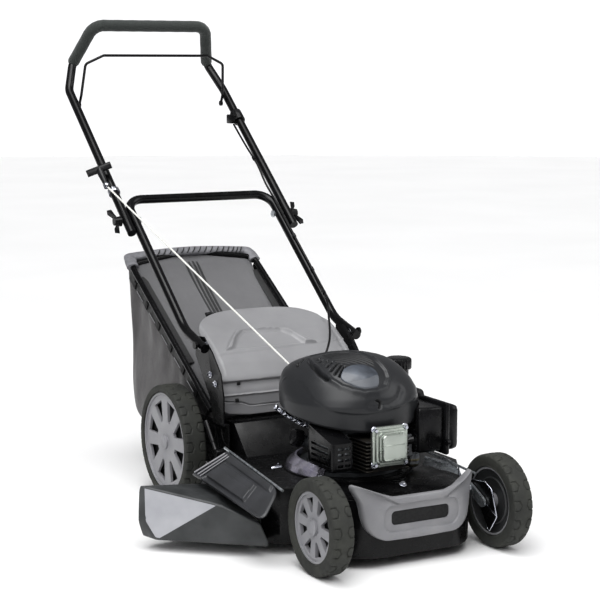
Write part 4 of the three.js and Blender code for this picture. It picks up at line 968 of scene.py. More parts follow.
on_top = np.clip((along - 0.5) * 2, 0, 1) ** 14
middle = 1 - (bx / 170) ** 2
valley = np.exp(-((bx + 34 - 30 * (t - 0.4)) / 26) ** 2)
hung = np.sin(math.pi * np.clip(t * 1.02, 0, 1)) ** 0.7
bz = bz - on_top * hung * (20 * middle + 34 * valley * rise(t, 0.1, 0.5))
ripple = np.sin((bx + 0.35 * by) / 19) * 2.6 + np.sin((bx - 0.2 * by) / 10.5 + 1.3) * 1.3
bz = bz + on_top * hung * middle * ripple
on_side = np.abs(across) ** 10
panel = np.clip(4 * along * (1 - along), 0, 1)
fold = 3.4 * np.sin(by / 23 + 1.6 * np.sin(bz / 90)) + 2.0 * np.sin(by / 10.5 + bz / 55)
bulge = 5.0 * np.exp(-(((by - 1000) / 90) ** 2 + ((bz - 190) / 70) ** 2))
bulge = bulge - 5.5 * np.exp(-((bz - 320) / 70) ** 2)
bx = bx + np.sign(across) * on_side * panel * (fold * rise(by, 600, 680) + bulge - 4)
cloth_points = np.stack([bx, by, bz], -1)
bag = skin("bag_cloth_body", cloth_points, "bag", "bag_cloth", bag_top_cloth, replaces=("bag_fabric",),
           sharp=70)
bag.data.materials.append(bag_side_cloth)


def read(rows, field, width=1, kind=np.float32):
    """One field of all vertices, corners or faces of a mesh, as an array of rows `width` wide."""
    values = np.empty(len(rows) * width, kind)
    rows.foreach_get(field, values)
    return values.reshape(-1, width) if width > 1 else values


def unroll(made):
    """UV in metres: each face takes the two coordinates that face its normal least."""
    uv = made.data.uv_layers.new(name="cloth").data
    co = read(made.data.vertices, "co", 3)
    corner = read(made.data.loops, "vertex_index", kind=np.int32)
    sides = read(made.data.polygons, "loop_total", kind=np.int32)
    axis = np.repeat(np.abs(read(made.data.polygons, "normal", 3)).argmax(1), sides)
    pairs = np.array([(1, 2), (0, 2), (0, 1)])[axis]
    flat = np.take_along_axis(co[corner], pairs, axis=1)
    uv.foreach_set("uv", flat.astype(np.float32).ravel())


unroll(bag)
facing = read(bag.data.polygons, "normal", 3)
is_top = (facing[:, 2] > 0.35) | (np.abs(facing[:, 1]) > 0.75)
bag.data.polygons.foreach_set("material_index", np.where(is_top, 0, 1).astype(np.int32))
print("bag:", len(bag.data.polygons), "faces")

# %% [markdown]
# The rim is a bent tube. Cloth is wrapped round it as a hem, and along each side a
# nylon rail clips the hem down: the rail is a flat strip with clips at even steps.
# %% Rim, hem and side rails
RIM = mirrored([(-174, 584, 226), (-174, 640, 259), (-174, 1050, 514), (-150, 1086, 528), (0, 1086, 536)])
rim_path = rounded_path(RIM[[0, 1, 2, 4, 6, 7, 8]], [60, 30, 24, 30, 60][:5], 8)
tube("bag_rim_tube", rim_path, 7.5, "bag", "bag_tube", black_enamel, sides=18, replaces=("bag_frame",))
hem_path = [(-173, 1040, 508), (-168, 1066, 525), (-148, 1080, 530), (0, 1080, 537), (148, 1080, 530),
            (168, 1066, 525), (173, 1040, 508)]
hem_run = smooth_line(hem_path, 110)
# Lighter coated cloth, which makes the hem stand out round the rim.
hem_cloth = finish("bag_hem_coated_polyester_light", "#8b8b8f", 0.6, mottle=("#77777b", 14),
                   relief=(0.2, 5))
hem_section = circle(1.0, 20) * (10.5, 15.5)
skin("bag_rear_hem", swept(hem_run, hem_section), "bag", "bag_cloth", hem_cloth, sharp=50)
hatch = [swept([p + (-9, -15.6, -3), p + (-4, -14.8, 4.4), p + (1, -8.5, 10.2)], circle(1.5, 8))
         for p in hem_run[34:96:4]]
joined("bag_rear_hem_hatch", hatch, "bag", "bag_cloth", webbing, sharp=50)
RAIL_A, RAIL_B = np.array((0, 612, 228.0)), np.array((0, 1052, 500.0))
for side in (-1, 1):
    label = "right" if side < 0 else "left"
    start, end = RAIL_A + (side * 171, 0, 0), RAIL_B + (side * 174, 0, 0)
    strip = np.array([(-12, -2.5), (-12, 2.5), (-10, 3.5), (10, 3.5), (12, 2.5), (12, -2.5)])
    path = start + (end - start) * np.linspace(0, 1, 60)[:, None] - (0, 0, 12)
    skin(f"bag_rail_{label}", swept(path, strip), "bag", "bag_tube", bag_nylon, sharp=35)
    run = (end - start) / np.linalg.norm(end - start)
    clips = [swept([start + run * d + (side * 3.0, 0, -12), start + run * (d + 12) + (side * 3.0, 0, -12)],
                   np.array([(-9, -2), (-9, 2.5), (9, 2.5), (9, -2)])) for d in np.linspace(60, 470, 6)]
    joined(f"bag_rail_clips_{label}", clips, "bag", "bag_tube", matt_black_and_shade, sharp=35)
    seams = [swept([start + run * (d + 22) + (side * 3.6, 0, -20),
                    start + run * (d + 62) + (side * 3.6, 0, -20)], circle(1.1, 8))
                    for d in np.linspace(60, 400, 5)]
    joined(f"bag_rail_beads_{label}", seams, "bag", "bag_tube", grey_nylon, sharp=40)
    vent = start + (end - start) * np.linspace(0.28, 0.92, 50)[:, None] - (side * 16, 0, -6)
    skin(f"bag_vent_strip_{label}", swept(vent, np.array([(-1.5, -9), (1.5, -9), (1.5, 9), (-1.5, 9)])),
         "bag", "bag_tube", webbing, sharp=35)
print("bag rim:", len(rim_path), "stations")

# %% [markdown]
# Two flat webbing straps and their buckle lie down the middle of the top. They
# ride a few millimetres over the cloth, which they pull into its valley.
# %% Straps and mouth ring
def cloth_height(px, py):
    """Height of the bag's top cloth at (px, py): the nearest point of the cloth grid above the middle."""
    ceiling = cloth_points[:, along > 0.9].reshape(-1, 3)
    away = (ceiling[:, 0] - np.ravel(px)[:, None]) ** 2 + (ceiling[:, 1] - np.ravel(py)[:, None]) ** 2
    return ceiling[np.argmin(away, axis=1), 2]


straps = []
for start_x, end_x in ((-22, -10), (-10, -2), (2, 6), (12, 14)):
    py = np.linspace(1062, 750, 40)
    px = np.interp(py, [750, 1062], [end_x, start_x])
    line = np.stack([px, py, cloth_height(px, py) + 4.0], -1)
    line[:, 2] = np.convolve(np.pad(line[:, 2], 3, "edge"), np.ones(7) / 7, "valid")
    straps.append(swept(line, np.array([(-0.9, -2.4), (-0.9, 2.4), (0.9, 2.4), (0.9, -2.4)])))
joined("bag_straps", straps, "bag", "bag_cloth", webbing, sharp=40)
buckle_z = float(cloth_height([-26], [905])[0])
soft_box("bag_buckle", (-38, 892, buckle_z - 2), (-14, 922, buckle_z + 9), 3.5, "bag", "bag_tube", bag_nylon)
mouth_half = [(-163, 583, 76), (-163, 583, 248), (163, 583, 248), (163, 583, 76)]
ring = rounded_path(mouth_half + [mouth_half[0]], [14, 14, 14], 6)
tube("bag_mouth_ring", ring, 5, "bag", "bag_tube", bag_nylon, sides=12)
print("straps:", len(straps))

# %% [markdown]
# ## Starter rope and brake cable
# The rope is braided: two families of strands wind against each other, which shows as a
# fine diamond relief. It runs straight from its eye by the handle towards the engine.
# %% Starter rope
EYE, AIM = np.array((-250, 1017, 718.0)), np.array((-80, 360, 350.0))
run = (AIM - EYE) / np.linalg.norm(AIM - EYE)
rope_length = np.linalg.norm(AIM - EYE) - 7 + 8
stations = EYE + run * np.linspace(7, 7 + rope_length, 420)[:, None]
_, side_a, side_b = frames(stations)
a = np.linspace(0, 2 * math.pi, 16, endpoint=False)
d = np.linspace(0, rope_length, 420)[:, None]
radius = 2.15 + 0.16 * np.cos(3 * (a + d / 3.2)) * np.cos(3 * (a - d / 3.2))
spoke = np.cos(a)[:, None] * side_a[:, None] + np.sin(a)[:, None] * side_b[:, None]
grid = stations[:, None] + radius[..., None] * spoke
rope = skin("starter_rope_braid", grid, None, "rope", rope_nylon, replaces=("starter_rope",))
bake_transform(rope)
print("rope:", round(rope_length), "mm from eye to cowl")

# %% [markdown]
# ## Engine details
# The engine is mostly castings and black covers. The rocker cover is a pressed
# plate with stepped frames, so it is a stack of rounded outlines; the finned
# barrel is a stack of thin plates; and the caps and bowls are turned shapes.
# %% Rocker cover, stepped and bolted
def stacked(layers, steps=6):
    """Grid of rounded rectangles: each layer is (x0, x1, z0, z1, depth, corner radius), joined in order."""
    rows = []
    for x0, x1, z0, z1, depth, r in layers:
        q = np.linspace(0, math.pi / 2, steps)
        centres = [(x1 - r, z1 - r), (x0 + r, z1 - r), (x0 + r, z0 + r), (x1 - r, z0 + r)]
        loop = np.concatenate([np.stack([cx + r * np.cos(q + k * math.pi / 2),
                                         cz + r * np.sin(q + k * math.pi / 2)], -1)
                               for k, (cx, cz) in enumerate(centres)])
        rows.append(np.stack([loop[:, 0], np.full(len(loop), depth), loop[:, 1]], -1))
    return np.array(rows)


PLATE = [(-43, 43, 180, 266, 92, 9), (-43, 43, 180, 266, 85.5, 9), (-42, 42, 181, 265, 84.3, 9),
         (-38, 38, 185, 261, 84.0, 12), (-37, 37, 186, 260, 79.5, 12), (-36, 36, 187, 259, 78.6, 12),
         (-32.5, 32.5, 190.5, 256, 78.4, 11), (-31.5, 31.5, 191.5, 255, 73.5, 10),
         (-30.5, 30.5, 192.5, 254, 72.6, 10), (-28.5, 28.5, 194.5, 252, 72.4, 8),
         (-28, 28, 195, 251.5, 66.8, 8), (-26.5, 26.5, 196.5, 250, 65.2, 7.5),
         (-20, 20, 203, 244, 64.6, 6), (-1, 1, 222, 224, 64.4, 0.5)]
skin("rocker_cover_pressing", stacked(PLATE), "mower", "zinc_cover", zinc_yellow,
     replaces=("rocker_cover",), sharp=30)
bolts = []
for px, pz in ((-37, 186), (37, 186), (-37, 260), (37, 260)):
    bolts += bolt_head((px, 86, pz), (0, -1, 0), 8.5, 8, washer=6.3)
    bolts.append(turned([(8.2, 0), (8.4, 4.2), (7.4, 5.4), (0.01, 5.6)], (px, 91, pz), (0, -1, 0), 28))
joined("rocker_cover_bolts", bolts, "mower", "polished", bright_steel, sharp=30)
ledge = [swept([(-24, 64.4, 229.5), (0, 64.0, 229.5), (24, 64.4, 229.5)], circle(0.7, 8)),
         swept([(-24, 64.4, 199), (0, 64.0, 199), (24, 64.4, 199)], circle(0.7, 8))]
joined("rocker_cover_beads", ledge, "mower", "zinc_cover", zinc_yellow)
print("rocker cover:", len(PLATE), "layers")

# %% [markdown]
# The barrel is cooled by thin plates, the crankcase stands on stepped discs, and
# the float bowl hangs under the carburettor. Plates are soft boxes and the rest is
# turned, because that is how each is cast or spun.
# %% Fins, base discs and carburettor bowl
fins = [soft_box_grid((-53, 93, z0), (53, 171, z0 + 4.2), 1.6, 3) for z0 in np.linspace(168, 231, 9)]
fins.append(soft_box_grid((-38, 93, 168), (38, 171, 234), 3))
# Dark cast metal over the whole fin stack.
fin_alloy = finish("cylinder_aluminium_dark", "#2b2b2c", 0.5, 0.6, mottle=("#39352f", 14),
                   wear=(0.08, 9))
joined("cylinder_fins", fins, "mower", "cast_alloy", fin_alloy, replaces=("cylinder",), sharp=50)
BASE_DISCS = ((117, 146.5, 154, "lower"), (108, 154, 160, "middle"), (92, 160, 169, "upper"))
for radius_out, low, high, label in BASE_DISCS:
    disc = [(0.02, low), (radius_out - 1.5, low), (radius_out, low + 1.5), (radius_out, high - 2.2),
            (radius_out - 2.4, high), (0.02, high)]
    skin("base_disc_" + label, turned(disc, (0, 258, 0), sides=96), "mower", "cast_alloy", sump_paint,
         sharp=45)
bowl = [(0.02, 149), (9, 149.4), (13, 151.5), (15, 156), (15.6, 163), (16.4, 164), (16.4, 168), (15.6, 169),
        (15.6, 180), (0.02, 180)]
skin("carburettor_bowl", turned(bowl, (108, 168, 0), sides=48), "mower", "brassy", brass_alloy, sharp=40)
joined("carburettor_bowl_bolt", bolt_head((108, 168, 149.5), (0, 0, -1), 9, 5), "mower", "polished",
       bright_steel, sharp=30)

# %% [markdown]
# Caps are ribbed for a wet hand. The ribs are a wave in the radius of a turned
# shape, which keeps them part of the cap, with no separate bars to line up.
# %% Fuel and oil caps with ribbed edges
def ribbed_cap(name, foot, axis, radius, tall, ribs, body, node, deep=1.6, sides=180):
    """A turned cap whose rim waves in and out: radius + deep * |cos(ribs / 2 * a)| on its side."""
    profile = np.array([(0.02, 0), (radius - 4, 0), (radius - 1.5, 1), (radius, 3), (radius, tall - 6),
                        (radius - 1.2, tall - 3), (radius - 5, tall - 0.8), (radius - 9, tall), (0.02, tall)])
    grid = turned(profile, (0, 0, 0), (0, 0, 1), sides)
    wave = deep * (np.abs(np.cos(np.linspace(0, 2 * math.pi, sides, endpoint=False) * ribs / 2)) - 0.6)
    weight = np.array([0, 0.3, 1, 1, 1, 0.9, 0.4, 0, 0])[:, None]
    grid[..., :2] *= (1 + weight * wave / radius)[..., None]
    axis = np.asarray(axis, float) / np.linalg.norm(axis)
    a = np.cross(axis, (0.2, 0.9, 0.1))
    a /= np.linalg.norm(a)
    placed = np.asarray(foot) + grid[..., :1] * a + grid[..., 1:2] * np.cross(axis, a) + grid[..., 2:] * axis
    return skin(name, placed, body, "black_plastic", black_nylon, replaces=(node,), sharp=38)


ribbed_cap("fuel_cap_ribbed", (172, 330, 333), (0, 0, 1), 30, 27, 22, "fuel_cap", "fuel_cap")
ribbed_cap("oil_cap_ribbed", (-94, 299.3, 204.9), (-24, 3.4, 9.4), 19, 26, 16, "oil_cap", "oil_cap")
print("caps: 2")

# %% [markdown]
# Parts that the frame already shapes well keep that shape. A copy gets its
# triangles joined into faces and its edges rounded, because a sharp edge with no
# highlight is what makes a part look drawn rather than made.
# %% Rounded copies of frame parts
ROUNDED = {"muffler_guard": (black_enamel, 1.2), "air_filter_box": (black_nylon, 2.5),
           "air_filter_cover": (black_nylon, 3.0), "fuel_tank": (black_nylon, 3.5),
           "handle_bracket_right": (deck_enamel, 0.9), "handle_bracket_left": (deck_enamel, 0.9),
           "heat_shield": (heat_plate, 1.0), "height_quadrant": (black_enamel, 0.8),
           "height_lever": (black_nylon, 2.0), "muffler": (plain_steel, 2.0),
           "carburettor": (cast_aluminium, 1.5), "starter_handle": (black_nylon, 1.5),
           "knob_right": (black_nylon, 1.6), "knob_left": (black_nylon, 1.6),
           "front_axle": (zinc_plate, 0.8), "crankcase": (sump_paint, 1.6),
           "rope_guide": (bright_steel, 0.5), "cable_stop": (black_nylon, 0.6)}
for name, (material, radius) in ROUNDED.items():
    if name in frame["nodes"]:
        refined(name, material, bevel=radius)
    else:
        print("no node", name)
refined("deck_shell", deck_enamel, bevel=2.0)
print("rounded:", len(ROUNDED) + 1)

# %% [markdown]
# ## Front bumper
# The bumper is a pale moulded frame round a slot. Its rows run from the slot's edge to
# the outer edge, so one profile gives the sunk ring round the slot, the flat face
# and the rounded rim. It wraps back towards its ends like the deck's front.
# %% Bumper
BUMPER = [(0, 148), (62, 148), (96, 160), (128, 172), (145, 178), (147, 168), (134, 140), (129, 106),
          (122, 84), (104, 68), (84, 60), (0, 58)]
MIDDLE = np.array([3.0, 103.5])


def by_angle(loop, angles):
    """A star-shaped loop read at even angles round MIDDLE: radius against angle."""
    d = np.asarray(loop, float) - MIDDLE
    angle, radius = np.arctan2(d[:, 1], d[:, 0]), np.linalg.norm(d, axis=1)
    order = np.argsort(angle)
    r = np.interp(angles, angle[order], radius[order], period=2 * math.pi)
    return MIDDLE + r[:, None] * np.stack([np.cos(angles), np.sin(angles)], -1)


def resampled(loop, count):
    """Points at even steps of length round a closed broken line."""
    loop = np.vstack([loop, loop[:1]])
    length = np.r_[0, np.cumsum(np.linalg.norm(np.diff(loop, axis=0), axis=1))]
    where = np.linspace(0, length[-1], count, endpoint=False)
    return np.stack([np.interp(where, length, loop[:, k]) for k in range(loop.shape[1])], -1)


def softened(loop, reach):
    """A closed loop whose points are each the mean of their neighbours within `reach` places."""
    return np.mean([np.roll(loop, k, 0) for k in range(-reach, reach + 1)], axis=0)


outline = np.array(BUMPER + [(-x, z) for x, z in BUMPER[::-1] if x > 0], float)
outer = softened(resampled(outline, 900), 9)
slot_loop = stacked([(-66, 72, 89, 118, 0, 9)], steps=8)[0][:, [0, 2]]
slot_edge = resampled(slot_loop, 900)
ring_loop = resampled(stacked([(-86, 92, 76, 132, 0, 22)], steps=8)[0][:, [0, 2]], 900)
angles = np.linspace(-math.pi, math.pi, 420, endpoint=False)
slot_at, ring_at, edge_at = by_angle(slot_edge, angles), by_angle(ring_loop, angles), by_angle(outer, angles)
ROWS = [("slot", 0, 0.0), ("slot", 0, 0.3), ("slot", 1.0, 0.42), ("mix", 0.35, 0.46), ("mix", 0.8, 0.52),
        ("ring", 0, 0.6), ("ring", 1.8, 0.93), ("ring", 3.5, 1.0), ("edge", -7, 1.0), ("edge", -2.6, 0.97),
        ("edge", -0.8, 0.85), ("edge", 0, 0.6), ("edge", 0, 0.0)]
bumper_rows = []
for kind, amount, forward in ROWS:
    if kind == "mix":
        flat = slot_at + (ring_at - slot_at) * amount
    else:
        flat = {"slot": slot_at, "ring": ring_at, "edge": edge_at}[kind]
        away = (flat - MIDDLE) / np.linalg.norm(flat - MIDDLE, axis=1)[:, None]
        flat = flat + away * amount
    wrap = 0.0088 * np.maximum(np.abs(flat[:, 0]) - 84, 0) ** 2
    back, face = -25.6 + wrap, -38 + 0.92 * wrap
    bumper_rows.append(np.stack([flat[:, 0], back + (face - back) * forward, flat[:, 1]], -1))
# Grey bumper plastic with the same silky shine as the door.
trim_grey = finish("bumper_nylon_grey", "#868688", 0.42, mottle=("#7d7d80", 60), wear=(0.06, 20),
                   relief=(0.04, 1.6))
skin("front_bumper_frame", np.array(bumper_rows), "mower", "grey_plastic", trim_grey, ends=False,
     wrap_rows=True, sharp=48, replaces=("front_bumper_trim",))
# A thin sheet behind the slot, matt near-black as painted shade, so the slot reads as deep.
soft_box("bumper_slot_shade_sheet", (-70, -28.4, 86), (76, -26.2, 121), 0.9, "mower", "deck_paint", matt_black_and_shade)
print("bumper rows:", len(bumper_rows))

# %% [markdown]
# ## Side flap and chute
# The flap is a hinged nylon plate. One patch between its four corners carries all of its
# relief: the hinge band, the raised panel with its step, and the slats at the rear.
# %% Flap
FLAP = {"hinge_rear": (-247, 357, 183), "hinge_front": (-247, 118, 152), "outer_front": (-308, 70, 105),
        "outer_rear": (-325, 375, 140)}
corners = {name: np.array(p, float) for name, p in FLAP.items()}
u = np.linspace(0, 1, 90)[:, None]
v = np.linspace(0, 1, 180)[None]
pinch = 0.13 * (1 - np.sqrt(np.clip(1 - (np.abs(2 * u - 1) ** 5), 0, 1)))
vv = 0.02 + (0.98 - pinch * 0.8) * v
hinge_side = corners["hinge_rear"] + vv[..., None] * (corners["hinge_front"] - corners["hinge_rear"])
outer_side = corners["outer_rear"] + vv[..., None] * (corners["outer_front"] - corners["outer_rear"])
flat = hinge_side + u[..., None] * (outer_side - hinge_side)
normal = np.cross(corners["hinge_front"] - corners["hinge_rear"],
                  corners["outer_front"] - corners["hinge_rear"])
normal /= np.linalg.norm(normal)
if normal[2] < 0:
    normal = -normal
band = rise(-u, -0.25, -0.2) * rise(-vv, -0.93, -0.9)
flap_height = 2.5 + 4.5 * band * np.sqrt(np.clip(1 - ((u - 0.11) / 0.14) ** 2, 0, 1))
panel = rise(u, 0.29, 0.31) * rise(-u, -0.86, -0.84) * rise(vv, 0.17, 0.18) * rise(-vv, -0.72, -0.705)
flap_height = flap_height + 5.5 * panel + 1.6 * panel * rise(u, 0.5, 0.52)
flap_height += 1.5 * rise(u, 0.9, 0.93) + 2.2 * rise(-np.abs(vv - 0.155), -0.012, -0.006) * rise(u, 0.25, 0.3)
flap_height -= 3.5 * rise(-vv, -0.145, -0.135) * rise(vv, 0.03, 0.04) * rise(u, 0.06, 0.09) * rise(-u,
    -0.95, -0.92)
flap_height -= 1.5 * np.exp(-(((u - 0.55) / 0.18) ** 2 + ((vv - 0.84) / 0.06) ** 2))
edge_fall = rise(np.minimum.reduce([u + 0 * v, 1 - u + 0 * v, v + 0 * u, 1 - v + 0 * u]), 0, 0.02)
top = flat + normal * (flap_height * edge_fall)[..., None]
under = flat - normal * 2.5
shell = np.concatenate([top, under[::-1]])
# Charcoal flap plastic with a satin shine.
flap_nylon = finish("flap_nylon_charcoal", "#343537", 0.4, mottle=("#3c3d40", 50), wear=(0.07, 20),
                    relief=(0.04, 1.4), specular_ior_level=0.45)
skin("side_flap_moulding", shell.transpose(1, 0, 2), "side_flap", "dark_plastic", flap_nylon, sharp=52,
     replaces=("side_flap",))


def on_flap(us, vs, up):
    """Points on the flap at shares across and along it, `up` mm over the plate."""
    us, vs = np.broadcast_arrays(np.asarray(us, float), np.asarray(vs, float))
    a = corners["hinge_rear"] + vs[..., None] * (corners["hinge_front"] - corners["hinge_rear"])
    b = corners["outer_rear"] + vs[..., None] * (corners["outer_front"] - corners["outer_rear"])
    return a + us[..., None] * (b - a) + normal * up


rail_u = np.linspace(0.08, 0.95, 24)
rails = [swept(on_flap(rail_u, where, up), circle(size, 10)) for where, up, size in
         ((0.035, 3.5, 2.4), (0.085, 4.5, 2.0), (0.118, 4.0, 1.4))]
joined("side_flap_rails", rails, "side_flap", "grey_plastic", wheel_nylon, sharp=50)
slats = [swept(on_flap(np.linspace(where, where + 0.035, 4), np.linspace(0.045, 0.145, 4), 1.6),
               circle(1.3, 8)) for where in np.linspace(0.12, 0.88, 9)]
joined("side_flap_slats", slats, "side_flap", "dark_plastic", flap_nylon, sharp=50)
print("flap:", shell.shape)

# %% [markdown]
# The chute is a hollow hood that throws the cuttings sideways. Its outside is the hull of a
# few corners, with every edge rolled over generously as a thick moulding has, and
# one facet carries a painted highlight in light grey.
# %% Chute
HULL = [(-441, 304, 25), (-252, 141, 25), (-268, 155, 74), (-338, 211, 112), (-455, 331, 138),
        (-457, 324, 62), (-452, 350, 25), (-252, 385, 25), (-252, 385, 108), (-374, 330, 128),
        (-462, 345, 136), (-464, 345, 60)]
b = bmesh.new()
for p in at(HULL):
    b.verts.new(p)
hull = bmesh.ops.convex_hull(b, input=b.verts)
bmesh.ops.delete(b, geom=[g for g in hull["geom_interior"] if isinstance(g, bmesh.types.BMVert)],
                 context="VERTS")
bmesh.ops.dissolve_limit(b, angle_limit=math.radians(4), verts=b.verts, edges=b.edges)
FACET = Vector((-0.718, -0.686, 0.116))
bmesh.ops.bevel(b, geom=list(b.edges), offset=11 * MM, segments=6, profile=0.5, affect="EDGES",
                clamp_overlap=True)
bmesh.ops.recalc_face_normals(b, faces=b.faces)
chute_mesh = bpy.data.meshes.new("side_chute_moulding")
b.to_mesh(chute_mesh)
b.free()
chute = bpy.data.objects.new("side_chute_moulding", chute_mesh)
bpy.context.scene.collection.objects.link(chute)
# Mid grey plastic, appended to the chute's materials but given to no face.
mid_grey = finish("chute_nylon_mid_grey", "#6f7174", 0.42, relief=(0.03, 1.3))
for material in (chute_nylon, mid_grey, facet_highlight):
    chute_mesh.materials.append(material)
aligned = np.array([p.normal @ FACET for p in chute_mesh.polygons])
print("chute facet alignment:", np.round(np.sort(aligned)[-12:], 3))
upper = np.array([(p.center.z * 1000 > 30) and (p.center.x - ORIGIN[0]) * 1000 < -330
                  for p in chute_mesh.polygons])
# Faces of the upper outer part that line up with FACET take the painted highlight.
chute_mesh.polygons.foreach_set("material_index", np.where((aligned > 0.993) & upper, 2, 0).astype(np.int32))
chute_mesh.polygons.foreach_set("use_smooth", [True] * len(chute_mesh.polygons))
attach(chute, "mower")
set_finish(chute, "dark_plastic")
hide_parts("side_chute")
finished(chute, weighted=True)

# %% [markdown]
# ## Small metal parts
# Bright little parts give the engine bay its life: galvanised suspension plates by the left
# front wheel, the governor linkage under the cowl, and bolts in the deck.
# %% Plates at the left front wheel
def plate(name, outline, thick, body, slot, material, **more):
    """A flat plate: an outline of 3-D corners and the same outline `thick` mm along its normal."""
    outline = np.asarray(outline, float)
    n = np.cross(outline[1] - outline[0], outline[2] - outline[0])
    n /= np.linalg.norm(n)
    return finished(skin(name, np.array([outline, outline + n * thick]), body, slot, material, **more),
                    bevel=0.6)


plate("left_plate_bright", [(184, 235, 150), (190, 160, 153), (186, 100, 148), (168, 60, 138),
                            (140, 66, 136), (141, 123, 138), (150, 190, 144)], 2.2, "mower",
                            "zinc_steel", zinc_plate, sharp=30)
edges = [rounded_path([(190, 168, 160), (187, 104, 153), (165, 70, 141), (163, 40, 139)], [18, 10], 5),
         rounded_path([(142, 128, 141), (141, 70, 138.5), (166, 40, 141)], [10], 5)]
joined("left_plate_rolled_edges", [swept(e, circle(1.8, 10)) for e in edges], "mower", "polished",
       bright_steel)
arm_line = rounded_path([(182, 82, 132), (182, 0, 145), (182, -27, 132), (182, -47, 78)], [14, 14], 5)
joined("left_arm_edges", [swept(arm_line, circle(1.7, 10)), swept(rounded_path(
    [(182, -47, 78), (182, -20, 40), (182, -8, 52)], [4], 4), circle(1.6, 10)), swept(
    [(182, 20, 112), (182, -20, 92), (182, -44, 80)], circle(1.3, 10))], "mower", "polished", bright_steel)
arm = [(181, 82, 131), (181, 0, 144), (181, -26, 131), (181, -46, 78), (181, -20, 41), (181, -6, 60),
       (181, 18, 92), (181, 60, 112)]
plate("left_arm_plate", arm, 2.0, "mower", "black_steel", deck_enamel, sharp=30)

# %% [markdown]
# The linkage is a bent wire with small collars, so it is a tube swept along a curve
# with turned rings. Bolts are hexagon heads on washers, at the joints that they hold.
# %% Governor linkage, latch and deck bolts
chain = np.array([(-156, 300, 282), (-146, 298, 275), (-136, 295, 267), (-126, 291, 260), (-116, 287, 253),
                  (-106, 281, 247), (-97, 274, 242)], float)
links = [swept(smooth_line(chain + (0, 6, -5), 30), circle(1.5, 8))]
for k, p in enumerate(chain):
    links.append(turned([(3.2, -5), (4.8, -3.6), (5.0, 3.6), (3.4, 5.2), (0.01, 5.2)],
                        p + (0, 2 * (k % 2), 0), (0.3, -1, 0.4 * (-1) ** k), 16))
    links.append(swept([p, p + (3, 4, 7 * (-1) ** k)], circle(1.3, 8)))
joined("governor_linkage", links, "mower", "polished", bright_steel, sharp=35)
latch = [swept([(-222, 196, 178), (-212, 190, 181), (-206, 178, 184)], circle(3.2, 10)),
         swept([(-214, 200, 172), (-214, 182, 190)], circle(1.6, 8))]
joined("flap_latch", latch, "mower", "polished", bright_steel, sharp=35)
bolts = bolt_head((-29, -12, 166), (0, -0.3, 1), 10, 6, washer=8)
for px, py, pz in ((-150, 118, 166), (150, 400, 166)):
    bolts += bolt_head((px, py, pz), (0, 0, 1), 10, 6, washer=8)
joined("deck_bolts", bolts, "mower", "polished", bright_steel, sharp=30)
bracket_bolts = []
for px, outward in ((-189, -1), (189, 1)):
    for py, pz in ((580, 381), (559, 314), (533, 297)):
        bracket_bolts += bolt_head((px, py, pz), (outward, 0, 0), 11, 6, washer=8)
joined("handle_bracket_bolts", bracket_bolts, "mower", "polished", bright_steel, sharp=30)
print("small parts placed")

# %% [markdown]
# The dish that closes each wheel's inner side shows at the far front wheel; its dark colour
# is painted shade. It is turned like the outer one, with the two ring ridges that stiffen it.
# %% Inner dishes
for corner_name, (centre, size) in WHEELS.items():
    inward = 1 if centre[0] < 0 else -1
    w, rim = size["width"] / 2 - 4, size["rim"]
    dish = [(19, w - 9), (rim * 0.35, w - 10), (rim * 0.62, w - 8), (rim * 0.66, w - 5.5), (rim * 0.7, w - 8),
            (rim * 0.86, w - 5), (rim * 0.89, w - 2), (rim * 0.92, w - 3.5), (rim - 5.1, w - 0.5)]
    back = [(r, x - 2.2) for r, x in dish[::-1]]
    skin("inner_dish_" + corner_name, turned(dish + back, centre, (inward, 0, 0), 72,
                                             (0, 1, 0)).transpose(1, 0, 2), corner_name + "_wheel",
                                             "black_plastic", dish_painted_shade, wrap_rows=True, sharp=40)
print("inner dishes:", len(WHEELS))

# %% [markdown]
# ## Brake cable
# The cable leaves its stop on the upper handle, runs down the left leg under clips, and
# curves over the deck to the engine. Its sheath is a plain vinyl tube.
# %% Cable
LEG_BEND, LEG_TOP = np.array((668, 402.1)), np.array((1015, 681.1))
leg = [(198, *(LEG_BEND + share * (LEG_TOP - LEG_BEND) + (-10.5, 12.5))) for share in (0.9, 0.65, 0.3)]
CABLE = [(204, 1223, 854.8), (203, 1150, 801.3), (201, 1080, 755.2), (200, 1030, 708), *leg, (182, 680, 455),
         (150, 610, 424), (90, 500, 380), (40, 452, 330), (8, 432, 290), (0, 430, 258)]
cable_line = smooth_line(CABLE, 260)
cable_length = np.linalg.norm(np.diff(cable_line, axis=0), axis=1).sum()
cable = skin("brake_cable_sheath", swept(cable_line, circle(2.6, 14)), None, "cable_sheath", cable_vinyl,
             replaces=("brake_cable",))
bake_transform(cable)
clips = []
for k in (36, 108, 136, 160):
    here, ahead = cable_line[k], cable_line[k + 1] - cable_line[k]
    ahead = ahead / np.linalg.norm(ahead)
    clips.append(swept([here - ahead * 5, here, here + ahead * 5], circle(4.4, 16)))
joined("cable_clips_upper", clips[:1], "upper_handle", "black_plastic", black_nylon, sharp=40)
joined("cable_clips_lower", clips[1:], "mower", "black_plastic", black_nylon, sharp=40)
print("cable:", round(cable_length), "mm")

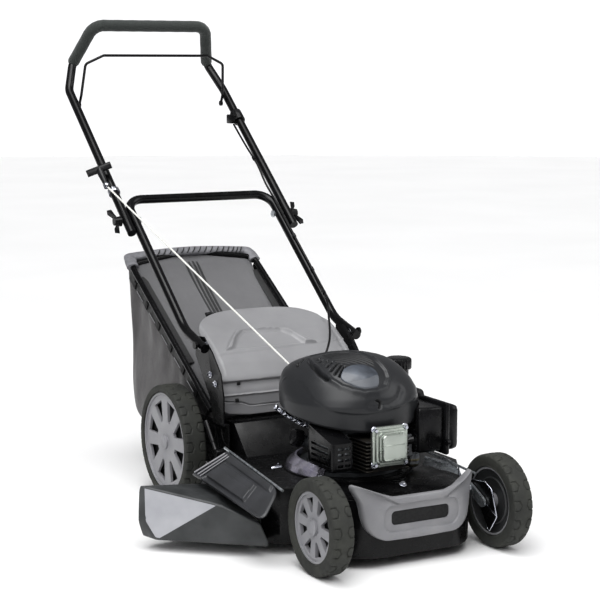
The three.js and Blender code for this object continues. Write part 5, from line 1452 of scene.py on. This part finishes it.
# %% [markdown]
# ## Floor and light
# A broad pale floor runs out of sight under a white surround. It is one turned
# disc, wide enough that its edge is lost.
# %% Floor
FLOOR_ROWS = np.linspace(0, 15000, 24)
floor_grid = turned(np.stack([np.maximum(FLOOR_ROWS, 1), np.full(24, -0.3)], -1), (0, 500, 0), sides=64)
floor = skin("floor", floor_grid, None, "rubber_tread", finish(
    "floor_pale_paint", "#f1f1f1", 0.6, mottle=("#f4f4f4", 900), relief=(0.05, 8)), ends=False, closed=False)
del floor["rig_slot"]
if floor.data.polygons[0].normal.z < 0:
    floor.data.flip_normals()
print("floor:", len(floor.data.polygons), "faces")

# %% [markdown]
# Gloss paint shows its shape by what it reflects, so the sources are broad. Three
# sun lamps give soft shadows from several sides, and one area lamp adds the
# brighter highlight from above. The surround is bright to the camera and dim as a
# light, so that it looks white and the blacks stay black.
# %% Lights
def lamp(name, place, aim, size, watts, tint):
    """A square area lamp at `place` turned to `aim`, both in metres from the front axle's ground point."""
    light = bpy.data.lights.new(name, "AREA")
    light.shape, light.size, light.energy, light.color = "SQUARE", size, watts, colour(tint)[:3]
    made = bpy.data.objects.new(name, light)
    made.location = Vector(place) + Vector(ORIGIN)
    made.rotation_mode = "QUATERNION"
    made.rotation_quaternion = (Vector(aim) - Vector(place)).to_track_quat("-Z", "Y")
    bpy.context.scene.collection.objects.link(made)
    return made


def sky(name, aim, strength, spread):
    """A broad soft lamp far away, shining along `aim`: its disc is `spread` degrees across."""
    light = bpy.data.lights.new(name, "SUN")
    light.energy, light.angle = strength, math.radians(spread)
    made = bpy.data.objects.new(name, light)
    made.rotation_mode = "QUATERNION"
    made.rotation_quaternion = Vector(aim).to_track_quat("-Z", "Y")
    bpy.context.scene.collection.objects.link(made)
    return made


sky("sky_overhead", (0.25, 0.35, -1), 1.9, 60)
sky("sky_front_left", (0.9, 0.75, -0.75), 0.8, 40)
sky("sky_right", (-0.9, 0.5, -0.6), 0.55, 40)
lamp("lamp_overhead", (-0.6, 0.2, 3.0), (0, 0.5, 0.3), 1.6, 22, "#ffffff")
world = bpy.data.worlds.new("white_surround")
bpy.context.scene.world = world
world.use_nodes = True
sky_tree = world.node_tree
seen = add(sky_tree, "LightPath").outputs["Is Camera Ray"]
level = add(sky_tree, "MapRange", {"Value": seen, "To Min": 0.22, "To Max": 0.95})
surround = sky_tree.nodes["Background"]
surround.inputs["Color"].default_value = colour("#fdfdff")
sky_tree.links.new(level.outputs["Result"], surround.inputs["Strength"])
bpy.context.scene.view_settings.view_transform = "Standard"
bpy.context.scene.view_settings.look = "Medium High Contrast"
